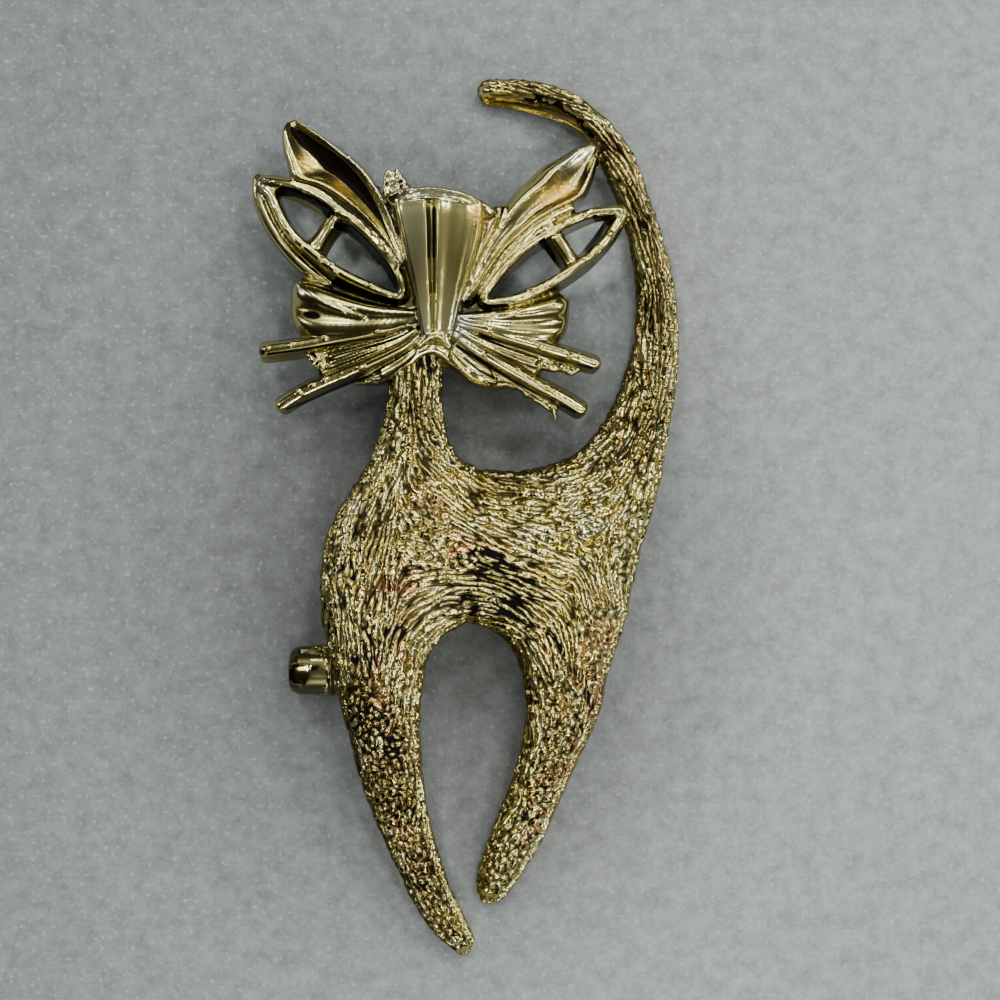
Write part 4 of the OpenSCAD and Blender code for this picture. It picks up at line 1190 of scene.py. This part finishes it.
class BROOCH_OT_cheeks(bpy.types.Operator):
    """Casts the fluted cheeks and the muzzle between them"""
    bl_idname = "brooch.cheeks"
    bl_label = "Cheeks"

    def execute(self, context):
        for name, rows in (("left_cheek", LEFT_CHEEK_ROWS), ("right_cheek", RIGHT_CHEEK_ROWS)):
            cast(name, strip, rows, CHEEK_END, CHEEK_ROOT, fine=3, spread=(0.15, 0.15), full=2.6, fade=0.22)
        cast("left_cheek_ridge", rod, CHEEK_RIDGE)
        for name, rows in PLATES.items():
            cast(name, strip, rows, PLEATS, PLEATS, steps=5, fine=3, spread=(0.1, 0.1), full=1.4, fade=0.15)
        return {"FINISHED"}


WHISKERS = {
    "whisker_left_upper": [
        (264, 350, 5, 0.52, 0.3, 0.45, 3.3), (285, 347, 5.3, 0.5, 0.25, 0.5, 3.3),
        (310, 343, 5.6, 0.48, 0.25, 0.5, 3.3), (335, 338, 5.9, 0.46, 0.25, 0.5, 3.6),
        (360, 334, 6.3, 0.42, 0.25, 0.5, 4), (385, 329, 6.7, 0.36, 0.2, 0.4, 4.4),
        (405, 323, 7.1, 0.3, 0.2, 0.3, 5), (419, 317, 7.3, 0.24, 0.1, 0.2, 5.5)],
    "whisker_left_lower": [
        (281, 405, 4.9, 0.48, 0.35, 0.35, 3.3), (300, 393, 5.2, 0.48, 0.35, 0.35, 3.3),
        (321, 383, 5.5, 0.48, 0.35, 0.35, 3.3), (345, 373, 5.8, 0.46, 0.35, 0.35, 3.5),
        (368, 363, 6.2, 0.42, 0.35, 0.3, 4), (390, 353, 6.7, 0.36, 0.3, 0.3, 4.6),
        (408, 343, 7.1, 0.3, 0.2, 0.2, 5.2), (420, 333, 7.3, 0.24, 0.1, 0.1, 5.6)],
    "whisker_right_upper": [
        (595, 363, 5, 0.48, 0.4, 0.3, 3.3), (575, 356, 5.3, 0.48, 0.45, 0.3, 3.3),
        (553, 349, 5.6, 0.46, 0.45, 0.3, 3.3), (530, 342, 5.9, 0.44, 0.45, 0.3, 3.6),
        (507, 336, 6.3, 0.4, 0.4, 0.3, 4), (485, 329, 6.8, 0.34, 0.3, 0.3, 4.6),
        (467, 323, 7.2, 0.28, 0.2, 0.2, 5.2), (455, 318, 7.4, 0.24, 0.1, 0.1, 5.6)],
    "whisker_right_lower": [
        (581, 409, 4.9, 0.48, 0.4, 0.35, 3.3), (562, 397, 5.2, 0.48, 0.4, 0.35, 3.3),
        (541, 386, 5.5, 0.46, 0.4, 0.35, 3.3), (520, 374, 5.8, 0.44, 0.4, 0.35, 3.6),
        (500, 363, 6.2, 0.4, 0.4, 0.3, 4), (482, 352, 6.7, 0.36, 0.3, 0.3, 4.6),
        (466, 342, 7.1, 0.3, 0.2, 0.2, 5.2), (453, 332, 7.3, 0.24, 0.1, 0.1, 5.6)],
}
LIP_ROWS = ended([
    (384, 374, 5.5, 0.3, 0.3), (396, 368, 6, 0.36, 0.3), (408, 361, 6.5, 0.42, 0.4), (418, 352, 6.8, 0.44, 0.4),
    (430, 347, 6.95, 0.45, 0.4), (441, 350, 6.8, 0.44, 0.4), (452, 359, 6.5, 0.42, 0.4),
    (467, 368, 6.1, 0.4, 0.4), (482, 375, 5.8, 0.32, 0.3), (494, 381, 5.6, 0.24, 0.3)], 0.2, 4.2)
NOSE_ROWS = ended([
    (419, 345, 7.45, 0.22), (426, 338, 7.65, 0.26), (434, 334, 7.75, 0.28), (442, 337, 7.7, 0.26),
    (449, 346, 7.45, 0.22)], 0.1, 0.1, 5)


# Thin metal that the mould let through, and the spur under the lower right whisker.
FLASH = {
    "flash_right": [
        (540, 354, 541, 368, 4.4), (547, 356, 546, 371, 4.3), (556, 358, 555, 372, 4.2),
        (566, 361, 564, 371, 4.2), (574, 364, 572, 376, 4.1), (583, 367, 580, 372, 3.9)],
    "flash_left": [
        (300, 349, 301, 357, 4.2), (307, 348, 308, 360, 4.4), (315, 347, 315, 370, 4.4),
        (322, 346, 322, 376, 4.3), (330, 346, 331, 377, 4.3)],
    "spur": [
        (549, 404, 558, 407, 4), (551, 410, 557, 411, 3.9), (553, 416, 557, 417, 3.8), (554, 422, 556, 422, 3.7)],
}
RAGGED = [
    (0, -0.6), (0.1, -0.1), (0.25, 0), (0.45, -0.12), (0.6, -0.02), (0.75, -0.15), (0.9, -0.05), (1, -0.6)]


class BROOCH_OT_whiskers(bpy.types.Operator):
    """Casts the four whiskers and the lip"""
    bl_idname = "brooch.whiskers"
    bl_label = "Whiskers and lip"

    def execute(self, context):
        for name, rows in WHISKERS.items():
            start = "square" if name == "whisker_left_upper" else "round"
            cast(name, rod, rows, ends=(start, "round"))
        cast("lip", rod, LIP_ROWS, crown=0.8)
        cast("nose", rod, NOSE_ROWS)
        for name, rows in FLASH.items():
            cast(name, strip, rows, RAGGED, RAGGED, steps=4, fine=2, spread=(0.05, 0.05), full=1.0)
        return {"FINISHED"}


SKULL = [
    (389, 202), (404, 194), (430, 190), (455, 193), (470, 199), (490, 208), (504, 210), (494, 222), (489, 235),
    (486, 252), (474, 268), (470, 290), (492, 302), (530, 303), (556, 304), (554, 328), (540, 342), (520, 346),
    (503, 350), (503, 370), (480, 376), (458, 371), (440, 366), (420, 366), (398, 370), (378, 370), (366, 360),
    (362, 345), (320, 338), (306, 330), (304, 296), (330, 296), (380, 306), (404, 300), (400, 270), (396, 240),
    (390, 218)]
SKULL_TOP = 4.8
TAB = [
    (386, 206), (383, 188), (384, 175), (388, 169), (393, 172), (397, 168), (402, 173), (406, 181), (412, 187),
    (410, 200)]


class BROOCH_OT_skull(bpy.types.Operator):
    """Casts the back of the head, and the rough tab that the casting kept"""
    bl_idname = "brooch.skull"
    bl_label = "Skull and casting marks"

    def execute(self, context):
        edges = {"affect": "EDGES", "profile": 0.5, "material": -1}
        bm = block(SKULL, SKULL_TOP, HEAD_BACK, SKULL_TOP - HEAD_BACK)
        level = [e for e in bm.edges if abs(e.verts[0].co.z - e.verts[1].co.z) < 0.01]
        bmesh.ops.bevel(bm, geom=level, offset=0.15, segments=3, **edges)
        divide_caps(bm)
        head_part("skull", bm, levels=0)
        bm = block(TAB, 5.5, 3.8, 2.2)
        bmesh.ops.bevel(bm, geom=bm.edges[:], offset=0.12, segments=2, **edges)
        divide_caps(bm)
        head_part("casting_tab", bm, levels=0)
        return {"FINISHED"}


class BROOCH_OT_head(bpy.types.Operator):
    """Fuses the parts of the head into one polished casting"""
    bl_idname = "brooch.head"
    bl_label = "Fuse head"

    def execute(self, context):
        bm = bmesh.new()
        for part in HEAD_PARTS:
            bm.from_mesh(part.data)
            remove(part)
        HEAD_PARTS.clear()
        obj = new_object("cast_head", bm)
        fuse(obj, context.scene.brooch_sizes.head_voxel, 7)
        mesh = coarsen(obj, BACK, HEAD_BACK_KEEP)
        co = coordinates(mesh)
        px, py = pixel_of(co)
        bump = sampled(pebbles(11, 2.2), *on_grid(co))
        near = [line_distance(px, py, line) for line in CRESTS]
        near += [line_distance(px, py, [row[:2] for row in rim + rim[:1]]) for rim in (LEFT_EYE_RIM, RIGHT_EYE_RIM)]
        crest = smooth_step(6.0, 2.0, np.min(np.abs(near), axis=0))
        rough = 0.09 * bump * patches(px, py, ROUGH) + 0.12 * np.clip(bump - 1.35, 0, 0.9) * crest
        place_in_box(mesh, co + directions(mesh) * rough[:, None])
        mark_head(mesh)
        metal = material_named("Polished gold", polished_finish)
        settle_halves(obj, ("cast_head_left", "cast_head_right"), at(434, 260, 8), (1, 0, 0), metal)
        return {"FINISHED"}


# The catch: pixel x of its nose and root, pixel y of its middle, radius, and height of its middle.
CATCH = (290, 337, 671.5, 1.74, 1.76)
# Width of a pixel at the catch, and the rings of its barrel and their sides.
CATCH_PIXEL = 0.0728
CATCH_RINGS = 61
CATCH_SIDES = 96
# How much painted shade the whole catch has and how much painted black lies over all of it, where it is worn, and
# where more painted black shade lies in its mouth and its slit.
CATCH_SHADE = 0.84
CATCH_PAINTED_DARK = 0.34
CATCH_WORN = [(335, 670, 8, 30, 0, 0.8), (310, 652, 26, 8, 0, 0.8), (312, 690, 26, 10, 0, 0.5)]
CATCH_PAINTED_BLACK = [(298, 675, 11, 9, 0, 1.0), (314, 668, 8, 4, -20, 0.5)]


def barrel(along, radius):
    """Radius of the closed barrel at a place along it, in pixels from its nose."""
    return radius * (0.78 + 0.22 * smooth_step(-1.0, 10.0, along) ** 0.5)


def opened(along, down, radius):
    """Radius of the barrel's front, with its open mouth, its slit and its collar."""
    r = barrel(along, radius)
    mouth = smooth_step(19.5, 16.5, along - down * 0.4) * smooth_step(6.5, 5.0, down)
    mouth = mouth * smooth_step(-14.0, -11.5, down) * smooth_step(0.0, 2.5, along)
    r = r - mouth * (r - 0.55)
    r = r - 0.35 * (smooth_step(1.6, 0.8, abs(down - 20.0)) * smooth_step(8, 11, along))
    return r + 0.14 * math.exp(-((along + CATCH[0] - CATCH[1] + 6) / 2.2) ** 2)


class BROOCH_OT_catch(bpy.types.Operator):
    """Forms the catch that peeps out behind the front leg, with its open mouth and its slit"""
    bl_idname = "brooch.catch"
    bl_label = "Catch"

    def execute(self, context):
        x_nose, x_root, y_middle, radius, height = CATCH
        rings = []
        for i in range(CATCH_RINGS):
            along = (x_root + 14 - x_nose) * i / (CATCH_RINGS - 1)
            middle = at(x_nose + along, y_middle, height + radius * 0.7)
            ring = []
            for j in range(CATCH_SIDES):
                a = 2 * math.pi * j / CATCH_SIDES
                down = math.sin(a) * radius / CATCH_PIXEL
                r = opened(along, down, radius) if math.cos(a) > -0.2 else barrel(along, radius)
                ring.append(Vector((middle.x, middle.y + r * math.sin(a), height + r * math.cos(a))))
            rings.append(ring)
        nose = [p.lerp(Vector((p.x, middle.y, height)), 0.25) - Vector((0.12, 0, 0)) for p in rings[0]]
        bm = bmesh.new()
        loft(bm, [nose] + rings)
        divide_caps(bm)
        outward(bm)
        obj = new_object("catch", bm)
        mesh = obj.data
        smooth(mesh)
        co = coordinates(mesh)
        px, py = pixel_of(co)
        place_in_box(mesh, co)
        mark(mesh, "worn", patches(px, py, CATCH_WORN))
        mark(mesh, "sparkle", np.zeros(len(co)))
        # Painted shade over the whole catch, and painted black over it, with more in its mouth and its slit.
        mark(mesh, "shade", np.full(len(co), CATCH_SHADE))
        mark(mesh, "dirt", np.clip(CATCH_PAINTED_DARK + patches(px, py, CATCH_PAINTED_BLACK), 0, 1))
        settle(obj, material_named("Polished gold", polished_finish))
        return {"FINISHED"}


class BROOCH_OT_pin(bpy.types.Operator):
    """Gives the pin wire its finish"""
    bl_idname = "brooch.pin"
    bl_label = "Pin finish"

    def execute(self, context):
        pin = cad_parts["pin_stem"]
        for slot in pin.material_slots:
            slot.material = material_named("Pin wire", wire_finish)
        return {"FINISHED"}


# The lights, in metres: place, sizes, power and colour. The photographer and the camera hide the middle of the
# ceiling and the south-west. The small lamps are the bulbs that the beads of the metal mirror.
SOFT_LIGHTS = {
    "overhead": ((0.0, 0.0, 0.65), (0.50, 0.50), 0.20, (0.95, 1.0, 0.98)),
    "north": ((0.03, 0.38, 0.40), (0.50, 0.20), 0.6, (0.98, 1.0, 0.96)),
    "south": ((0.0, -0.45, 0.30), (0.40, 0.12), 0.35, (0.98, 1.0, 0.96)),
    "east": ((0.46, 0.10, 0.30), (0.12, 0.30), 0.25, (1.0, 0.99, 0.95)),
    "west": ((-0.48, 0.16, 0.26), (0.12, 0.30), 0.2, (0.93, 0.98, 1.0)),
}
LAMPS = {
    "lamp_north": ((0.14, 0.36, 0.40), 0.40), "lamp_north_west": ((-0.16, 0.34, 0.38), 0.30),
    "lamp_north_east": ((0.34, 0.22, 0.34), 0.40), "lamp_east": ((0.44, -0.02, 0.30), 0.35),
    "lamp_west": ((-0.42, 0.06, 0.28), 0.25), "lamp_south_east": ((0.30, -0.32, 0.28), 0.30),
    "lamp_south": ((0.02, -0.42, 0.30), 0.35), "high_north_east": ((0.12, 0.18, 0.45), 0.20),
    "high_north_west": ((-0.14, 0.16, 0.45), 0.20), "high_south": ((0.03, -0.21, 0.45), 0.20),
    "high_east": ((0.21, -0.06, 0.45), 0.20),
}
LAMP_SIZE = 0.045
LAMP_GAIN = 1.3
# The colour and the strength of the light from the rest of the room.
ROOM = (0.8, 0.9, 1.0, 1)
ROOM_GAIN = 0.006


def add_light(name, place, size, power, colour=(1, 1, 1)):
    """A light that shines on the brooch, square unless it has two sizes."""
    data = bpy.data.lights.new(name, "AREA")
    data.shape = "RECTANGLE" if len(size) > 1 else "SQUARE"
    data.size = size[0]
    if len(size) > 1:
        data.size_y = size[1]
    data.energy = power
    data.color = colour
    obj = bpy.data.objects.new(name, data)
    obj.location = place
    obj.rotation_mode = "QUATERNION"
    obj.rotation_quaternion = (Vector() - Vector(place)).to_track_quat("-Z", "Y")
    bpy.context.scene.collection.objects.link(obj)


# The floor's half width in metres, the colours of its fibres and of its painted shadow, and ovals of pixels for the
# painted shadow round the brooch and the painted light under the eyes: middle, half width and half height.
FLOOR_REACH = 0.6
FIBRE = (0.75, 0.78, 0.78)
FLOOR_PAINTED_SHADOW = (0.012, 0.006, 0.0)
PAINTED_SHADOW_OVAL = (430, 560, 260, 330)
PAINTED_LIGHT_UNDER_EYES = (((347, 244, 65, 42), 2.4), ((555, 250, 75, 45), 1.1))


def floor_finish(name):
    """The pale fibrous floor, with painted shadow round the brooch, as cast by it and by whoever leans over it,
    painted light under the eyes, and painted light that grows towards the lower right.
    """
    colour = bpy.context.scene.brooch_colours.floor
    material, shader, place = new_material(name)
    vector = {"kind": "ShaderNodeVectorMath"}

    def reach(px, py, across, down):
        """How far out a place is in an oval, its edge being 1."""
        per_metre = 1 / (CAM_H / CAM_F * MM)
        off = place.maths("SUBTRACT", place, at(px, py, 0) * MM, **vector)
        off = off.maths("MULTIPLY", off, (per_metre / across, per_metre / down, 0), **vector)
        return off.maths("LENGTH", off, out="Value", **vector)

    cloud = (place.noise(700.0, 6.0, 0.8) * 2.2 - 0.6).clamp()
    fibre = ((place.noise(2600.0, 3.0) - 0.58) * 6.0).clamp() * 0.35
    x, y = [place.node("ShaderNodeSeparateXYZ", axis, Vector=place) for axis in "XY"]
    # Painted light: the floor grows brighter towards the lower right.
    side = (x * 14.0 - y * 5.0 + 0.55).clamp()
    # Painted shadow round the brooch, and painted light under the eyes.
    painted_light = 0.50 + (reach(*PAINTED_SHADOW_OVAL) - 0.45).clamp() * 0.5
    for oval, gain in PAINTED_LIGHT_UNDER_EYES:
        painted_light = painted_light * (1.0 + ((1.1 - reach(*oval)) * 3.0).clamp() * gain)
    low, high = [mixed(side, [c * k * 0.76 for c in colour], [c * k * 1.28 for c in colour]) for k in (0.56, 1.2)]
    cloth = mixed(fibre, mixed(cloud, low, high), FIBRE)
    # The cloth is made four times brighter, and the painted light and shadow take that back.
    bright = cloth.node("ShaderNodeVectorMath", 0, {"operation": "SCALE"}, i0=cloth, Scale=4.0)
    finish(
        shader, Base_Color=mixed(painted_light * 0.25, FLOOR_PAINTED_SHADOW, bright), Roughness=0.95, Specular_IOR_Level=0.1,
        Normal=place.noise(1800.0, 3.0).bump(0.35, 0.0002))
    return material


class BROOCH_OT_stage(bpy.types.Operator):
    """Lays the brooch on a pale floor under soft lights, and sets up the camera"""
    bl_idname = "brooch.stage"
    bl_label = "Stage"

    def execute(self, context):
        bm = bmesh.new()
        bmesh.ops.create_grid(bm, x_segments=2, y_segments=2, size=FLOOR_REACH)
        floor = new_object("floor", bm)
        floor.data.materials.append(material_named("Pale floor", floor_finish))

        world = bpy.data.worlds.new("room")
        world.use_nodes = True
        back = world.node_tree.nodes["Background"]
        back.inputs[0].default_value = ROOM
        back.inputs[1].default_value = ROOM_GAIN
        context.scene.world = world
        for name, light in SOFT_LIGHTS.items():
            add_light(name, *light)
        for name, (place, power) in LAMPS.items():
            add_light(name, place, (LAMP_SIZE,), power * LAMP_GAIN)

        camera = bpy.data.cameras.new("camera")
        camera.sensor_width = SENSOR
        camera.lens = CAM_F / 1000 * SENSOR
        camera.clip_start = 0.01
        camera.clip_end = 10
        obj = bpy.data.objects.new("camera", camera)
        obj.location = (CAM_AT[0] * MM, CAM_AT[1] * MM, CAM_H * MM)
        context.scene.collection.objects.link(obj)
        context.scene.camera = obj
        return {"FINISHED"}


OPERATORS = (
    BROOCH_OT_body, BROOCH_OT_forehead, BROOCH_OT_ears, BROOCH_OT_eyes, BROOCH_OT_cheeks, BROOCH_OT_whiskers,
    BROOCH_OT_skull, BROOCH_OT_head, BROOCH_OT_catch, BROOCH_OT_pin, BROOCH_OT_stage)


class BROOCH_PT_panel(bpy.types.Panel):
    bl_label = "Cat brooch"
    bl_idname = "BROOCH_PT_panel"
    bl_space_type = "VIEW_3D"
    bl_region_type = "UI"
    bl_category = "Brooch"

    def draw(self, context):
        for group in (context.scene.brooch_sizes, context.scene.brooch_colours):
            for key in group.bl_rna.properties.keys():
                if key not in ("rna_type", "name"):
                    self.layout.prop(group, key)
        for operator in OPERATORS:
            self.layout.operator(operator.bl_idname)


CLASSES = (BroochSizes, BroochColours, *OPERATORS, BROOCH_PT_panel)


def register():
    for cls in CLASSES:
        bpy.utils.register_class(cls)
    bpy.types.Scene.brooch_sizes = PointerProperty(type=BroochSizes)
    bpy.types.Scene.brooch_colours = PointerProperty(type=BroochColours)


def unregister():
    del bpy.types.Scene.brooch_sizes
    del bpy.types.Scene.brooch_colours
    for cls in reversed(CLASSES):
        bpy.utils.unregister_class(cls)


def main():
    register()
    bpy.ops.brooch.body()
    bpy.ops.brooch.forehead()
    bpy.ops.brooch.ears()
    bpy.ops.brooch.eyes()
    bpy.ops.brooch.cheeks()
    bpy.ops.brooch.whiskers()
    bpy.ops.brooch.skull()
    bpy.ops.brooch.head()
    bpy.ops.brooch.catch()
    bpy.ops.brooch.pin()
    bpy.ops.brooch.stage()


if __name__ == "__main__":
    main()
